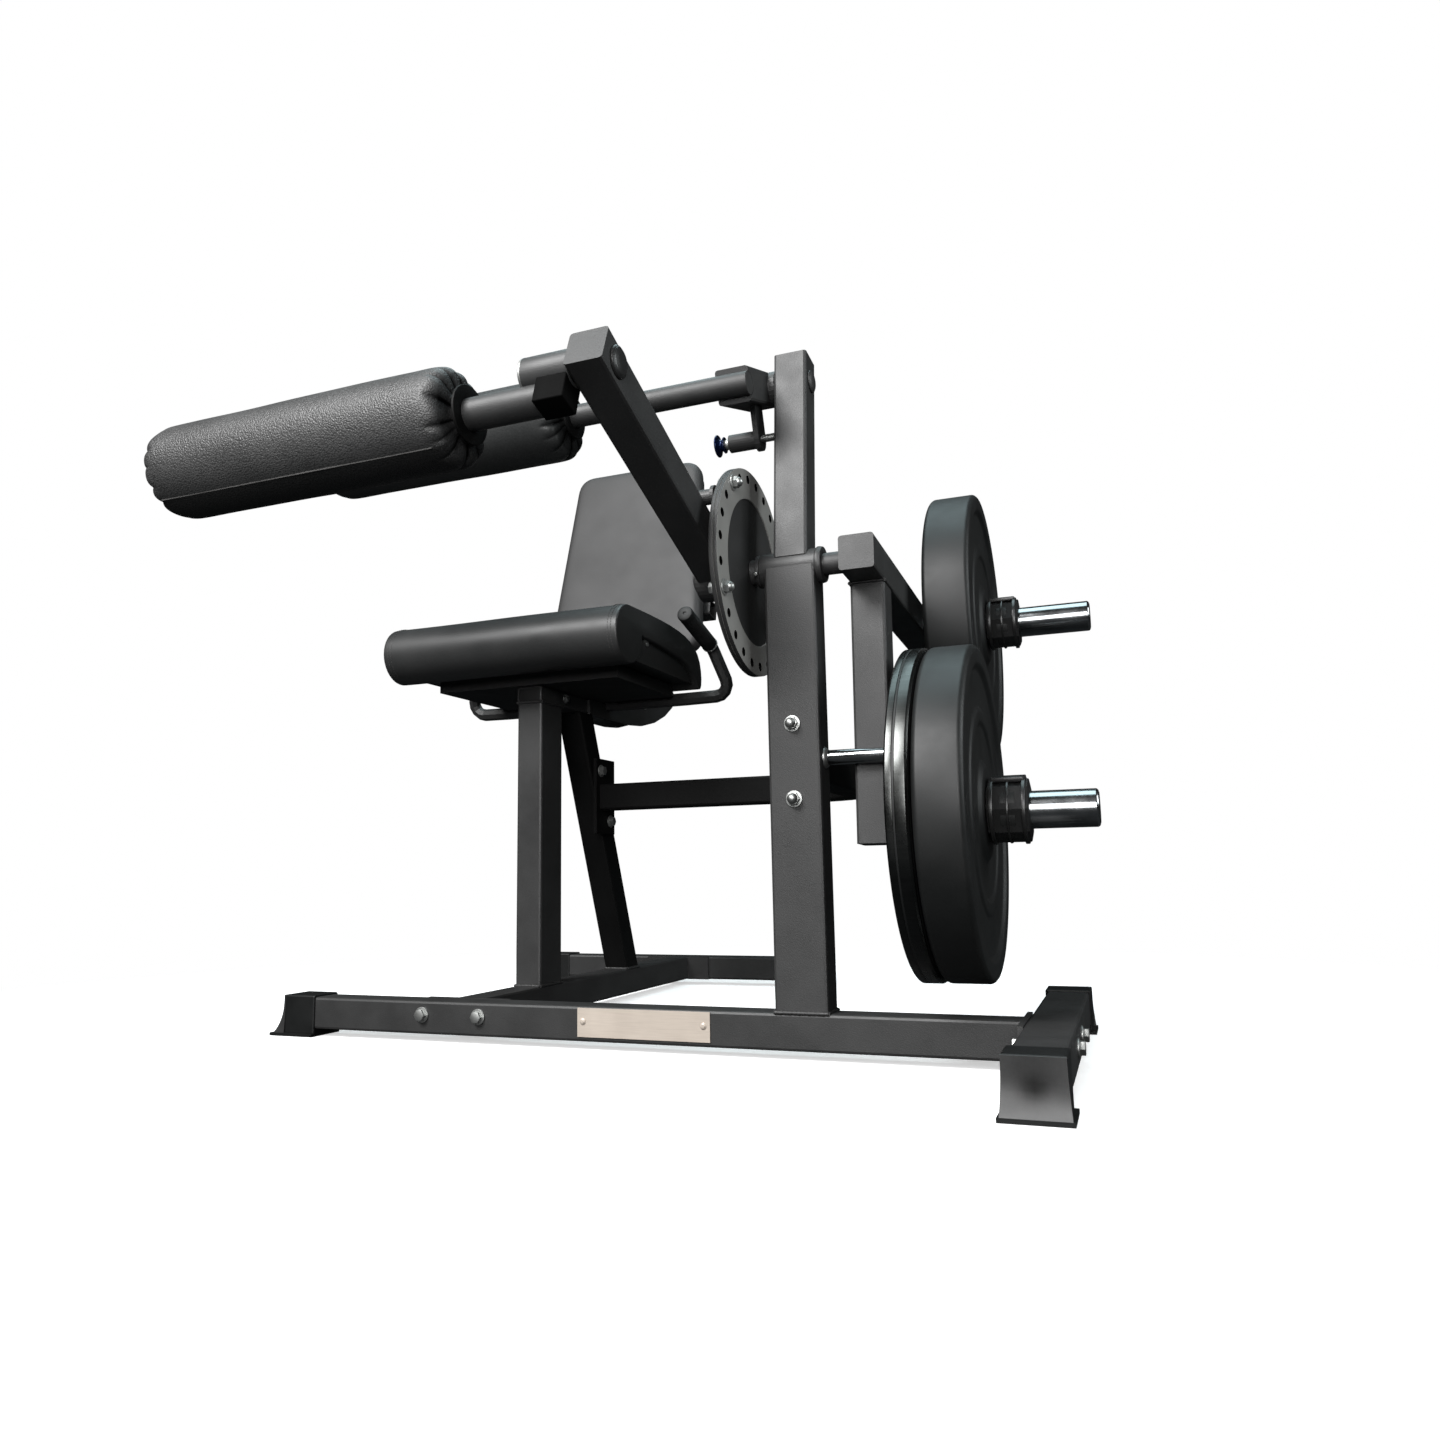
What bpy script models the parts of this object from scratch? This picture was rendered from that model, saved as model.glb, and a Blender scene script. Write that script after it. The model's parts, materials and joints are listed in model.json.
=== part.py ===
"""Leg extension and hamstring machine, modelled at real size.

Sizes are millimetres in the machine's own layout: X runs to the right of someone facing the machine's
front, Y runs back and Z up from the floor. X 0 is the left face of the lower upright. Each object is
written in metres with its origin on its joint's axis.
"""
import math

import bmesh
import bpy
from mathutils import Matrix, Vector

MM = 0.001

# Layout point that becomes the world origin, under the middle of the machine's box
ORIGIN_X = -223.0
ORIGIN_Y = 256.6

# Clearances
GAP = 0.3
FIT = 0.1

# Tube stock
TUBE = 50.0
WALL = 3.0
CORNER = 4.0
FLANGE = 6.0
TUBE_Z = 12.0

# Base
RAIL_LEFT = -820.0
RAIL_RIGHT = 322.0
RAIL_Y = 27.0
CROSS_X = 358.0
CROSS_WIDTH = 60.0
CROSS_FRONT = -250.0
CROSS_REAR = 390.0
SEAT_X = -524.0
REAR_FOOT_Y = 917.0
REAR_FOOT_HALF = 325.0
BOOT_WALL = 3.0
FOOT_PLATE = 4.7

# Uprights and shaft
UPRIGHT_WIDTH = 75.0
UPRIGHT_X = 37.5
SHAFT_Y = 27.0
SHAFT_Z = 685.0
SHAFT_R = 16.0
HOUSING_R = 25.0
HOUSING_BORE = 21.0
HOUSING_X0 = -8.0
HOUSING_X1 = 76.0
UPPER_X = 39.0
UPPER_LEAN = 0.0933
UPPER_FOOT_Y = 30.0
UPPER_FOOT_Z = 708.0
UPPER_TOP_Z = 1015.0
PIVOT_Z = 978.0
PIVOT_PIN_R = 10.0
LINK_BOLT_Z = (350.0, 455.0)
LINK_Z = 401.0
LINK_Y = 465.0
LINK_BEND_R = 105.0

# Seat
SEAT_POST_Y = 267.5
SEAT_POST_DEPTH = 75.0
SEAT_POST_TOP = 560.0
REAR_POST_LEAN = 0.402
REAR_POST_FOOT_Y = 599.0
SEAT_FRAME_H = 28.0
SEAT_HALF = 233.0
SEAT_ROLL_R = 51.0
SEAT_ROLL_Y = 163.0
SEAT_ROLL_Z = 650.0
BOARD_HALF = 183.0
BOARD_T = 22.7
HANDLE_R = 12.5
GRIP_R = 15.0
HANDLE_Y = 480.0
HANDLE_Z = 587.0
HANDLE_REACH = 267.0

# Backrest
BACK_LEAN = math.radians(12.2)
BACK_FOOT_Y = 597.0
BACK_FOOT_Z = 716.0
BACK_LENGTH = 467.0
BACK_BOTTOM_W = 368.0
BACK_TOP_W = 316.0
BACK_PAD_T = 35.0
BACK_BOARD_T = 14.7
BACK_POST = 40.0

# Disc and weight frame
DISC_X0 = -35.0
DISC_X1 = -23.0
DISC_R = 152.0
DISC_RING_R = 108.0
HOLE_CIRCLE_R = 138.0
HOLE_R = 6.5
HOLES = 24
PIN_R = 6.0
BEAM_X = 139.0
BEAM_TILT = math.radians(2.5)
BEAM_FRONT = 36.0
BEAM_BACK = 450.0
PENDULUM_BACK = 48.0
PENDULUM_DOWN = 394.0
UPPER_HORN_AT = BEAM_BACK - 30.0
LOWER_HORN_AT = PENDULUM_DOWN - 37.0
HORN_R = 25.0
UPPER_HORN_END = 426.0
LOWER_HORN_END = 430.0
STOP_ROD_Z = 407.0
STOP_ROD_R = 10.65
STOP_ROD_END = 190.0
PLATE_R = 225.0
PLATE_BORE_R = 25.4
THIN_X0 = 196.0
THIN_X1 = 226.0
THIN_RIM = 23.0
THIN_DISH = 3.0
BUMPER_X0 = 228.0
BUMPER_X1 = 290.0
UPPER_BUMPER_X0 = 185.0
UPPER_BUMPER_X1 = 259.0
PLATE_FACETS = 32
# What turns in a bore needs enough facets for its corners to clear the flats of the bore
SHAFT_FACETS = 32
ROLLER_FACETS = 36

# Lever arm and rollers
ARM_X = -75.0
ARM_ANGLE = math.radians(21.3)
ARM_LENGTH = 450.0
ARM_PIVOT_AT = ARM_LENGTH - 30.0
HUB_R = 35.0
INDEX_ANGLE = math.radians(37.5)
LINK_SLEEVE_R = 20.0
BAR_R = 21.0
BAR_DROP_Y = -10.0
BAR_DROP_Z = -33.0
ROLLER_R = 62.5
NEAR_ROLLER_X0 = -716.0
NEAR_ROLLER_X1 = -256.0
HOLD_X = -21.0
HOLD_ANGLE = math.radians(19.0)
HOLD_FRONT = 110.0
HOLD_BACK = 22.0
HOLD_BAR_AT = HOLD_FRONT + 4.0
HOLD_BAR_R = 17.0
HOLD_PIN_ALONG = 41.2
HOLD_PIN_BELOW = 73.6
FAR_ROLLER_X0 = -720.0
FAR_ROLLER_X1 = -290.0

FINISHES = {
    "powder": ((0.045, 0.047, 0.048), 0.45, 0.3),
    "chrome": ((0.55, 0.56, 0.57), 0.18, 1.0),
    "zinc": ((0.6, 0.6, 0.6), 0.3, 1.0),
    "plastic": ((0.03, 0.03, 0.032), 0.5, 0.0),
    "vinyl": ((0.05, 0.05, 0.052), 0.5, 0.0),
    "rubber": ((0.04, 0.045, 0.047), 0.7, 0.0),
    "steel": ((0.5, 0.5, 0.5), 0.35, 1.0),
    "blue": ((0.02, 0.04, 0.12), 0.35, 0.6),
    "wood": ((0.05, 0.045, 0.04), 0.8, 0.0),
}


def clear_scene():
    """Remove the scene's objects and collections."""
    for old in list(bpy.data.objects):
        bpy.data.objects.remove(old, do_unlink=True)
    for old in list(bpy.data.collections):
        bpy.data.collections.remove(old)


clear_scene()
MACHINE = bpy.data.collections.new("leg_extension_hamstring_machine")
CUTTERS = bpy.data.collections.new("cutters")
bpy.context.scene.collection.children.link(MACHINE)
bpy.context.scene.collection.children.link(CUTTERS)


def world(point):
    """Return a layout point in world metres."""
    return Vector(((point[0] - ORIGIN_X) * MM, (point[1] - ORIGIN_Y) * MM, point[2] * MM))


def join(pieces, pivot):
    """Return a mesh of the pieces, in metres around the pivot."""
    whole = bmesh.new()
    for piece in pieces:
        piece.normal_update()
        bmesh.ops.recalc_face_normals(piece, faces=piece.faces[:])
        single = bpy.data.meshes.new("single")
        piece.to_mesh(single)
        piece.free()
        whole.from_mesh(single)
        bpy.data.meshes.remove(single)
    centre = Vector(pivot)
    bmesh.ops.translate(whole, vec=-centre, verts=whole.verts[:])
    bmesh.ops.scale(whole, vec=(MM, MM, MM), verts=whole.verts[:])
    mesh = bpy.data.meshes.new("mesh")
    whole.to_mesh(mesh)
    whole.free()
    return mesh


def paint(obj, finish):
    """Give an object its own material."""
    colour, rough, metal = FINISHES[finish]
    material = bpy.data.materials.new(obj.name + "_" + finish)
    material.use_nodes = True
    shader = material.node_tree.nodes["Principled BSDF"]
    shader.inputs["Base Color"].default_value = (colour[0], colour[1], colour[2], 1.0)
    shader.inputs["Roughness"].default_value = rough
    shader.inputs["Metallic"].default_value = metal
    material.diffuse_color = (colour[0], colour[1], colour[2], 1.0)
    obj.data.materials.append(material)


def node(name, finish, pieces, pivot=(0.0, 0.0, 0.0), cuts=()):
    """Make one named sub-part: the pieces are welded into one body, then cuts are taken out of it."""
    obj = bpy.data.objects.new(name, join(pieces[:1], pivot))
    obj.data.name = name
    MACHINE.objects.link(obj)
    obj.location = world(pivot)
    paint(obj, finish)
    for kind, tools in (("UNION", pieces[1:]), ("DIFFERENCE", cuts)):
        for number, tool in enumerate(tools):
            label = name + "_" + kind.lower() + str(number)
            cutter = bpy.data.objects.new(label, join([tool], pivot))
            CUTTERS.objects.link(cutter)
            cutter.location = obj.location
            cutter.hide_render = True
            cutter.display_type = "WIRE"
            boolean = obj.modifiers.new(label, "BOOLEAN")
            boolean.operation = kind
            boolean.solver = "EXACT"
            boolean.object = cutter
    return obj


def block(x0, x1, y0, y1, z0, z1, edge=0.0):
    """Box between two corners, with rounded edges where edge is set."""
    bm = bmesh.new()
    bmesh.ops.create_cube(bm, size=1.0)
    bmesh.ops.scale(bm, vec=(x1 - x0, y1 - y0, z1 - z0), verts=bm.verts[:])
    middle = ((x0 + x1) / 2, (y0 + y1) / 2, (z0 + z1) / 2)
    bmesh.ops.translate(bm, vec=middle, verts=bm.verts[:])
    if edge:
        bmesh.ops.bevel(bm, geom=bm.edges[:], offset=edge, segments=2, profile=0.5, affect="EDGES")
    return bm


def aim(start, direction, across=None):
    """Matrix that puts local Z along the direction and local X along across."""
    z_axis = Vector(direction).normalized()
    if across is None:
        across = (0.0, 0.0, 1.0) if abs(z_axis.z) < 0.9 else (1.0, 0.0, 0.0)
    x_axis = Vector(across)
    x_axis = (x_axis - z_axis * x_axis.dot(z_axis)).normalized()
    y_axis = z_axis.cross(x_axis)
    turn = Matrix((x_axis, y_axis, z_axis)).transposed().to_4x4()
    return Matrix.Translation(Vector(start)) @ turn


def section(width, depth, wall, corner):
    """Rounded rectangle in the local XY plane, as a ring where wall is set."""
    bm = bmesh.new()
    bmesh.ops.create_grid(bm, x_segments=1, y_segments=1, size=0.5)
    bmesh.ops.scale(bm, vec=(width, depth, 1.0), verts=bm.verts[:])
    if corner:
        bmesh.ops.bevel(bm, geom=bm.verts[:], offset=corner, segments=2, profile=0.5, affect="VERTICES")
    if wall:
        middle = bm.faces[:]
        bmesh.ops.inset_individual(bm, faces=middle, thickness=wall, use_even_offset=True)
        bmesh.ops.delete(bm, geom=middle, context="FACES")
    return bm


def extrude(bm, faces, shift, closing=True):
    """Extrude faces by a vector and return the new end faces; closing keeps the first faces as an end."""
    out = bmesh.ops.extrude_face_region(bm, geom=faces)["geom"]
    if not closing:
        bmesh.ops.delete(bm, geom=faces, context="FACES_ONLY")
    verts = [item for item in out if isinstance(item, bmesh.types.BMVert)]
    ends = [item for item in out if isinstance(item, bmesh.types.BMFace)]
    bmesh.ops.translate(bm, vec=shift, verts=verts)
    return ends, verts


def slide(verts, direction, level):
    """Move vertices along a direction to a level plane."""
    for vert in verts:
        vert.co += direction * ((level - vert.co.z) / direction.z)


def tube(start, end, across=(1.0, 0.0, 0.0), width=TUBE, depth=TUBE, wall=WALL, corner=CORNER,
         low=None, high=None):
    """Rectangular tube; low and high cut its ends level at those heights."""
    axis = Vector(end) - Vector(start)
    bm = section(width, depth, wall, corner)
    first = bm.verts[:]
    _, last = extrude(bm, bm.faces[:], (0.0, 0.0, axis.length))
    bm.transform(aim(start, axis, across))
    along = axis.normalized()
    if low is not None:
        slide(first, along, low)
    if high is not None:
        slide(last, along, high)
    return bm


def end_cap(tip, way):
    """Welded plate that closes a square tube's end."""
    return tube(tip - way * 1.0, tip + way * 3.0, wall=0.0)


def rod(start, end, radius, segments=20):
    """Round bar between two points."""
    axis = Vector(end) - Vector(start)
    bm = bmesh.new()
    bmesh.ops.create_cone(bm, cap_ends=True, segments=segments, radius1=radius, radius2=radius,
                          depth=axis.length)
    bmesh.ops.translate(bm, vec=(0.0, 0.0, axis.length / 2), verts=bm.verts[:])
    bm.transform(aim(start, axis))
    return bm


def turned(base, direction, profile, segments=24):
    """Revolve a profile of (along, radius) points around a line through base."""
    bm = bmesh.new()
    verts = [bm.verts.new((radius, 0.0, along)) for along, radius in profile]
    pairs = list(zip(verts[:-1], verts[1:]))
    if profile[0][1] > 0.0:
        pairs.append((verts[-1], verts[0]))
    edges = [bm.edges.new(pair) for pair in pairs]
    bmesh.ops.spin(bm, geom=verts + edges, cent=(0.0, 0.0, 0.0), axis=(0.0, 0.0, 1.0),
                   dvec=(0.0, 0.0, 0.0), angle=math.tau, steps=segments, use_merge=True)
    bmesh.ops.remove_doubles(bm, verts=bm.verts[:], dist=0.01)
    bm.transform(aim(base, direction))
    return bm


def along_x(y, z, profile, segments=24):
    """Turned piece on an axis that runs along X; profile is (x, radius)."""
    return turned((0.0, y, z), (1.0, 0.0, 0.0), profile, segments)


def ring(y, z, x0, x1, outer, inner, segments=24, chamfer=0.0):
    """Turned ring along X."""
    profile = [(x0, inner), (x0, outer - chamfer)]
    if chamfer:
        profile.append((x0 + chamfer, outer))
        profile.append((x1 - chamfer, outer))
    profile += [(x1, outer - chamfer), (x1, inner)]
    return along_x(y, z, profile, segments)


def plate(outline, x0, x1):
    """Flat plate across X from a side outline of (y, z) points."""
    bm = bmesh.new()
    face = bm.faces.new([bm.verts.new((x0, y, z)) for y, z in outline])
    extrude(bm, [face], (x1 - x0, 0.0, 0.0))
    return bm


def arc(y, z, radius, first, last, steps):
    """Points of an arc in the side view, in degrees."""
    points = []
    for step in range(steps + 1):
        angle = math.radians(first + (last - first) * step / steps)
        points.append((y + radius * math.cos(angle), z + radius * math.sin(angle)))
    return points


def hex_head(at, direction, size=8.5, height=7.0):
    """Hexagon head seated at a point and let into the face by a millimetre."""
    way = Vector(direction).normalized()
    return rod(Vector(at) - way, Vector(at) + way * height, size, 6)


def acorn(at, direction, shank, radius=6.0, hexagon=9.0):
    """Through bolt with a washer and acorn nut in front and its head behind, as one turned piece."""
    back = -shank - GAP
    profile = [(back - 7.0, 0.0), (back - 7.0, hexagon - 1.0), (back, hexagon), (back, radius)]
    profile += [(GAP, radius), (GAP, hexagon + 3.5), (2.4, hexagon + 3.5)]
    profile += [(2.4, hexagon), (8.0, hexagon), (11.0, hexagon * 0.8), (14.0, hexagon * 0.45), (15.0, 0.0)]
    return turned(at, direction, profile, 12)


def curve_bar(name, points, radius, pivot=(0.0, 0.0, 0.0)):
    """Round bar along a line of points, made from a curve with filled caps."""
    curve = bpy.data.curves.new(name, "CURVE")
    curve.dimensions = "3D"
    curve.bevel_depth = radius * MM
    curve.bevel_resolution = 2
    curve.use_fill_caps = True
    line = curve.splines.new("POLY")
    line.points.add(len(points) - 1)
    for slot, point in zip(line.points, points):
        place = (Vector(point) - Vector(pivot)) * MM
        slot.co = (place.x, place.y, place.z, 1.0)
    source = bpy.data.objects.new(name + "_path", curve)
    CUTTERS.objects.link(source)
    bpy.context.view_layer.update()
    mesh = bpy.data.meshes.new_from_object(source)
    bm = bmesh.new()
    bm.from_mesh(mesh)
    bmesh.ops.scale(bm, vec=(1000.0, 1000.0, 1000.0), verts=bm.verts[:])
    bmesh.ops.translate(bm, vec=pivot, verts=bm.verts[:])
    bmesh.ops.remove_doubles(bm, verts=bm.verts[:], dist=0.01)
    bpy.data.objects.remove(source, do_unlink=True)
    return bm


def rounded_path(corners, radius, steps=5):
    """Replace the inner corners of a line with arcs of about the given radius."""
    points = [Vector(corners[0])]
    for before, here, after in zip(corners[:-2], corners[1:-1], corners[2:]):
        here = Vector(here)
        back = (Vector(before) - here).normalized()
        ahead = (Vector(after) - here).normalized()
        half = back.angle(ahead) / 2
        reach = radius / math.tan(half)
        first = here + back * reach
        last = here + ahead * reach
        centre = here + (back + ahead).normalized() * (radius / math.sin(half))
        for step in range(steps + 1):
            spoke = (first - centre).normalized().slerp((last - centre).normalized(), step / steps)
            points.append(centre + spoke * radius)
    points.append(Vector(corners[-1]))
    return points


def seated_form(outline, stations, matrix=None):
    """Loft an outline through stations of (shift, scale) and close both ends."""
    bm = bmesh.new()
    middle_u = (min(p[0] for p in outline) + max(p[0] for p in outline)) / 2
    middle_v = (min(p[1] for p in outline) + max(p[1] for p in outline)) / 2
    first = stations[0]
    verts = []
    for u, v in outline:
        verts.append(bm.verts.new((middle_u + (u - middle_u) * first[1], middle_v + (v - middle_v) * first[1],
                                   first[0])))
    faces = [bm.faces.new(verts)]
    for before, here in zip(stations[:-1], stations[1:]):
        faces, verts = extrude(bm, faces, (0.0, 0.0, here[0] - before[0]), before is first)
        ratio = here[1] / before[1]
        for vert in verts:
            vert.co.x = middle_u + (vert.co.x - middle_u) * ratio
            vert.co.y = middle_v + (vert.co.y - middle_v) * ratio
    if matrix is not None:
        bm.transform(matrix)
    return bm


def frame_point(base, along, distance, away=None, offset=0.0):
    """Layout point at a distance along one direction and an offset along another."""
    point = Vector(base) + Vector(along) * distance
    if away is not None:
        point += Vector(away) * offset
    return point


TUBE_TOP = TUBE_Z + TUBE
TUBE_MID = TUBE_Z + TUBE / 2
HALF = TUBE / 2
RAIL_BACK = RAIL_Y + HALF
RAIL_FRONT = RAIL_Y - HALF


# Base frame
def boot(name, x0, x1, y0, y1, foot, cut):
    """Plastic end boot with its foot plate, hollow where the tube sits."""
    shell = block(x0, x1, y0, y1, FOOT_PLATE - 1.5, TUBE_TOP + BOOT_WALL, 2.5)
    base = block(foot[0], foot[1], foot[2], foot[3], 0.0, FOOT_PLATE)
    node(name, "plastic", [shell, base], cuts=[cut])


def build_base():
    """Rail, cross foot, seat crossmember, rear foot, boots and nameplate."""
    flange_half = 70.0
    rail = tube((RAIL_LEFT, RAIL_Y, TUBE_MID), (RAIL_RIGHT - GAP, RAIL_Y, TUBE_MID), (0.0, 1.0, 0.0))
    end = block(RAIL_RIGHT - 1.0, RAIL_RIGHT + FLANGE - GAP, RAIL_Y - flange_half, RAIL_Y + flange_half,
                TUBE_Z, TUBE_TOP)
    heads = []
    for x in (SEAT_X - 50.0, SEAT_X + 52.0):
        heads.append(hex_head((x, RAIL_FRONT, 41.0), (0.0, -1.0, 0.0)))
    for y in (RAIL_Y - 52.5, RAIL_Y + 52.5):
        heads.append(hex_head((RAIL_RIGHT, y, TUBE_MID), (-1.0, 0.0, 0.0)))
    node("front_base_rail", "powder", [rail, end] + heads)
    inner = block(RAIL_LEFT - GAP, RAIL_LEFT + 60.0, RAIL_FRONT - GAP, RAIL_BACK + GAP, TUBE_Z - GAP,
                  TUBE_TOP + GAP)
    boot("front_rail_boot", RAIL_LEFT - 22.0, RAIL_LEFT + 38.0, RAIL_FRONT - BOOT_WALL,
         RAIL_BACK + BOOT_WALL, (RAIL_LEFT - 48.0, RAIL_LEFT + 38.0, RAIL_FRONT - 8.0, RAIL_BACK + 8.0), inner)
    half = CROSS_WIDTH / 2
    cross = tube((CROSS_X, CROSS_FRONT, TUBE_MID), (CROSS_X, CROSS_REAR, TUBE_MID), (1.0, 0.0, 0.0),
                 CROSS_WIDTH)
    heads = []
    for y in (RAIL_Y - 52.5, RAIL_Y + 52.5):
        heads.append(hex_head((CROSS_X + half, y, TUBE_MID), (1.0, 0.0, 0.0)))
    node("cross_foot_tube", "powder", [cross] + heads)
    for name, tip, way in (("front", CROSS_FRONT, 1.0), ("rear", CROSS_REAR, -1.0)):
        outer = sorted((tip - way * 12.0, tip + way * 45.0))
        foot = sorted((tip - way * 25.0, tip + way * 45.0))
        inner_y = sorted((tip - way * GAP, tip + way * 60.0))
        hollow = block(CROSS_X - half - GAP, CROSS_X + half + GAP, inner_y[0], inner_y[1],
                       TUBE_Z - GAP, TUBE_TOP + GAP)
        boot("cross_foot_boot_" + name, CROSS_X - half - BOOT_WALL, CROSS_X + half + BOOT_WALL,
             outer[0], outer[1], (CROSS_X - half - 8.0, CROSS_X + half + 8.0, foot[0], foot[1]), hollow)
    front = RAIL_BACK + FLANGE
    back = REAR_FOOT_Y - HALF - FLANGE
    member = tube((SEAT_X, front + GAP, TUBE_MID), (SEAT_X, back - GAP, TUBE_MID))
    plates = [block(SEAT_X - 75.0, SEAT_X + 75.0, RAIL_BACK + GAP, front + 1.0, TUBE_Z, TUBE_TOP),
              block(SEAT_X - 75.0, SEAT_X + 75.0, back - 1.0, back + FLANGE - GAP, TUBE_Z, TUBE_TOP)]
    vent = rod((SEAT_X, 700.0, TUBE_Z - 5.0), (SEAT_X, 700.0, TUBE_Z + 8.0), 4.0, 12)
    node("seat_base_crossmember", "powder", [member] + plates, cuts=[vent])
    foot_tube = tube((SEAT_X - REAR_FOOT_HALF, REAR_FOOT_Y, TUBE_MID),
                     (SEAT_X + REAR_FOOT_HALF, REAR_FOOT_Y, TUBE_MID), (0.0, 1.0, 0.0))
    heads = []
    for x in (SEAT_X - 50.0, SEAT_X + 52.0):
        heads.append(hex_head((x, REAR_FOOT_Y + HALF, 41.0), (0.0, 1.0, 0.0)))
    node("rear_foot_tube", "powder", [foot_tube] + heads)
    for name, way in (("left", -1.0), ("right", 1.0)):
        tip = SEAT_X + way * REAR_FOOT_HALF
        outer = sorted((tip + way * 15.0, tip - way * 40.0))
        foot = sorted((tip + way * 27.0, tip - way * 40.0))
        inner_x = sorted((tip + way * GAP, tip - way * 60.0))
        hollow = block(inner_x[0], inner_x[1], REAR_FOOT_Y - HALF - GAP, REAR_FOOT_Y + HALF + GAP,
                       TUBE_Z - GAP, TUBE_TOP + GAP)
        boot("rear_foot_boot_" + name, outer[0], outer[1], REAR_FOOT_Y - HALF - BOOT_WALL,
             REAR_FOOT_Y + HALF + BOOT_WALL,
             (foot[0], foot[1], REAR_FOOT_Y - HALF - 8.0, REAR_FOOT_Y + HALF + 8.0), hollow)
    plate_body = block(-301.0, -94.0, RAIL_FRONT - 1.8, RAIL_FRONT - GAP, 19.0, 60.0)
    screws = []
    for x in (-292.0, -104.0):
        screws.append(turned((x, RAIL_FRONT - 1.8, 41.0), (0.0, -1.0, 0.0),
                             [(-0.8, 0.0), (-0.8, 5.0), (1.0, 4.6), (2.4, 2.5), (2.6, 0.0)], 16))
    node("nameplate", "steel", [plate_body] + screws)


def build_uprights():
    """Lower upright, bearing housing, upper upright and the link tube behind."""
    bore = rod((-100.0, SHAFT_Y, SHAFT_Z), (200.0, SHAFT_Y, SHAFT_Z), HOUSING_R + GAP, SHAFT_FACETS)
    holes = []
    for z in LINK_BOLT_Z:
        holes.append(rod((UPRIGHT_X - 1.0, -60.0, z), (UPRIGHT_X - 1.0, 120.0, z), 6.3, 16))
    lower = tube((UPRIGHT_X, RAIL_Y, TUBE_TOP + GAP), (UPRIGHT_X, RAIL_Y, SHAFT_Z), (1.0, 0.0, 0.0),
                 UPRIGHT_WIDTH, TUBE)
    node("lower_upright", "powder", [lower], cuts=[bore] + holes)
    housing = ring(SHAFT_Y, SHAFT_Z, HOUSING_X0, HOUSING_X1, HOUSING_R, HOUSING_BORE, SHAFT_FACETS)
    cover = ring(SHAFT_Y, SHAFT_Z, HOUSING_X1 - 1.0, HOUSING_X1 + 8.0, HOUSING_R + 3.0, SHAFT_R + 0.4,
                 SHAFT_FACETS, 2.5)
    node("bearing_housing", "powder", [housing, cover])
    left = ring(SHAFT_Y, SHAFT_Z, HOUSING_X0, HOUSING_X0 + 16.0, HOUSING_BORE - GAP, SHAFT_R + FIT,
                SHAFT_FACETS)
    right = ring(SHAFT_Y, SHAFT_Z, HOUSING_X1 - 17.5, HOUSING_X1 - 1.0 - GAP, HOUSING_BORE - GAP,
                 SHAFT_R + FIT, SHAFT_FACETS)
    node("shaft_bearing_left", "steel", [left])
    node("shaft_bearing_right", "steel", [right])
    lean = Vector((0.0, UPPER_LEAN, 1.0)).normalized()
    foot_z = 698.0
    foot = (UPPER_X, UPPER_FOOT_Y + UPPER_LEAN * (foot_z - UPPER_FOOT_Z), foot_z)
    top = (UPPER_X, UPPER_FOOT_Y + UPPER_LEAN * (UPPER_TOP_Z - UPPER_FOOT_Z), UPPER_TOP_Z)
    upper = tube(foot, top, low=foot_z)
    bore = rod((-100.0, SHAFT_Y, SHAFT_Z), (200.0, SHAFT_Y, SHAFT_Z), HOUSING_R + GAP, SHAFT_FACETS)
    pivot_hole = rod((-100.0, PIVOT_Y, PIVOT_Z), (200.0, PIVOT_Y, PIVOT_Z), PIVOT_PIN_R + 0.2, 24)
    pin_hole = rod((UPPER_X - HALF - 10.0, HOLD_PIN[1], HOLD_PIN[2]),
                   (UPPER_X - HALF + 10.0, HOLD_PIN[1], HOLD_PIN[2]), PIN_R + 0.5, 16)
    cap = end_cap(Vector(top), lean)
    node("upper_upright", "powder", [upper, cap], cuts=[bore, pivot_hole, pin_hole])
    right_face = UPPER_X + HALF
    left_end = HOLD_X - HALF
    pin = along_x(PIVOT_Y, PIVOT_Z, [
        (right_face + 6.0, 0.0), (right_face + 5.2, 10.0), (right_face + 2.5, 16.5), (right_face + GAP, 16.5),
        (right_face + GAP, PIVOT_PIN_R), (left_end - GAP, PIVOT_PIN_R), (left_end - GAP, 17.0),
        (left_end - 3.0, 17.0), (left_end - 3.0, 9.5), (left_end - 9.0, 9.5), (left_end - 10.0, 0.0)], 24)
    node("hold_down_pivot_pin", "powder", [pin])
    face = UPRIGHT_X + UPRIGHT_WIDTH / 2
    stop = along_x(RAIL_Y, STOP_ROD_Z, [(face + GAP, 0.0), (face + GAP, 14.0), (face + 3.5, 13.0),
                                        (face + 4.5, STOP_ROD_R), (STOP_ROD_END - 1.0, STOP_ROD_R),
                                        (STOP_ROD_END, STOP_ROD_R - 1.0), (STOP_ROD_END, 0.0)], 24)
    node("stop_rod", "chrome", [stop])
    for name, z in zip(("lower", "upper"), LINK_BOLT_Z):
        bolt = acorn((UPRIGHT_X - 1.0, RAIL_FRONT, z), (0.0, -1.0, 0.0), TUBE + FLANGE + 1.0)
        node("upright_bolt_" + name, "zinc", [bolt])
    build_link()


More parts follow.
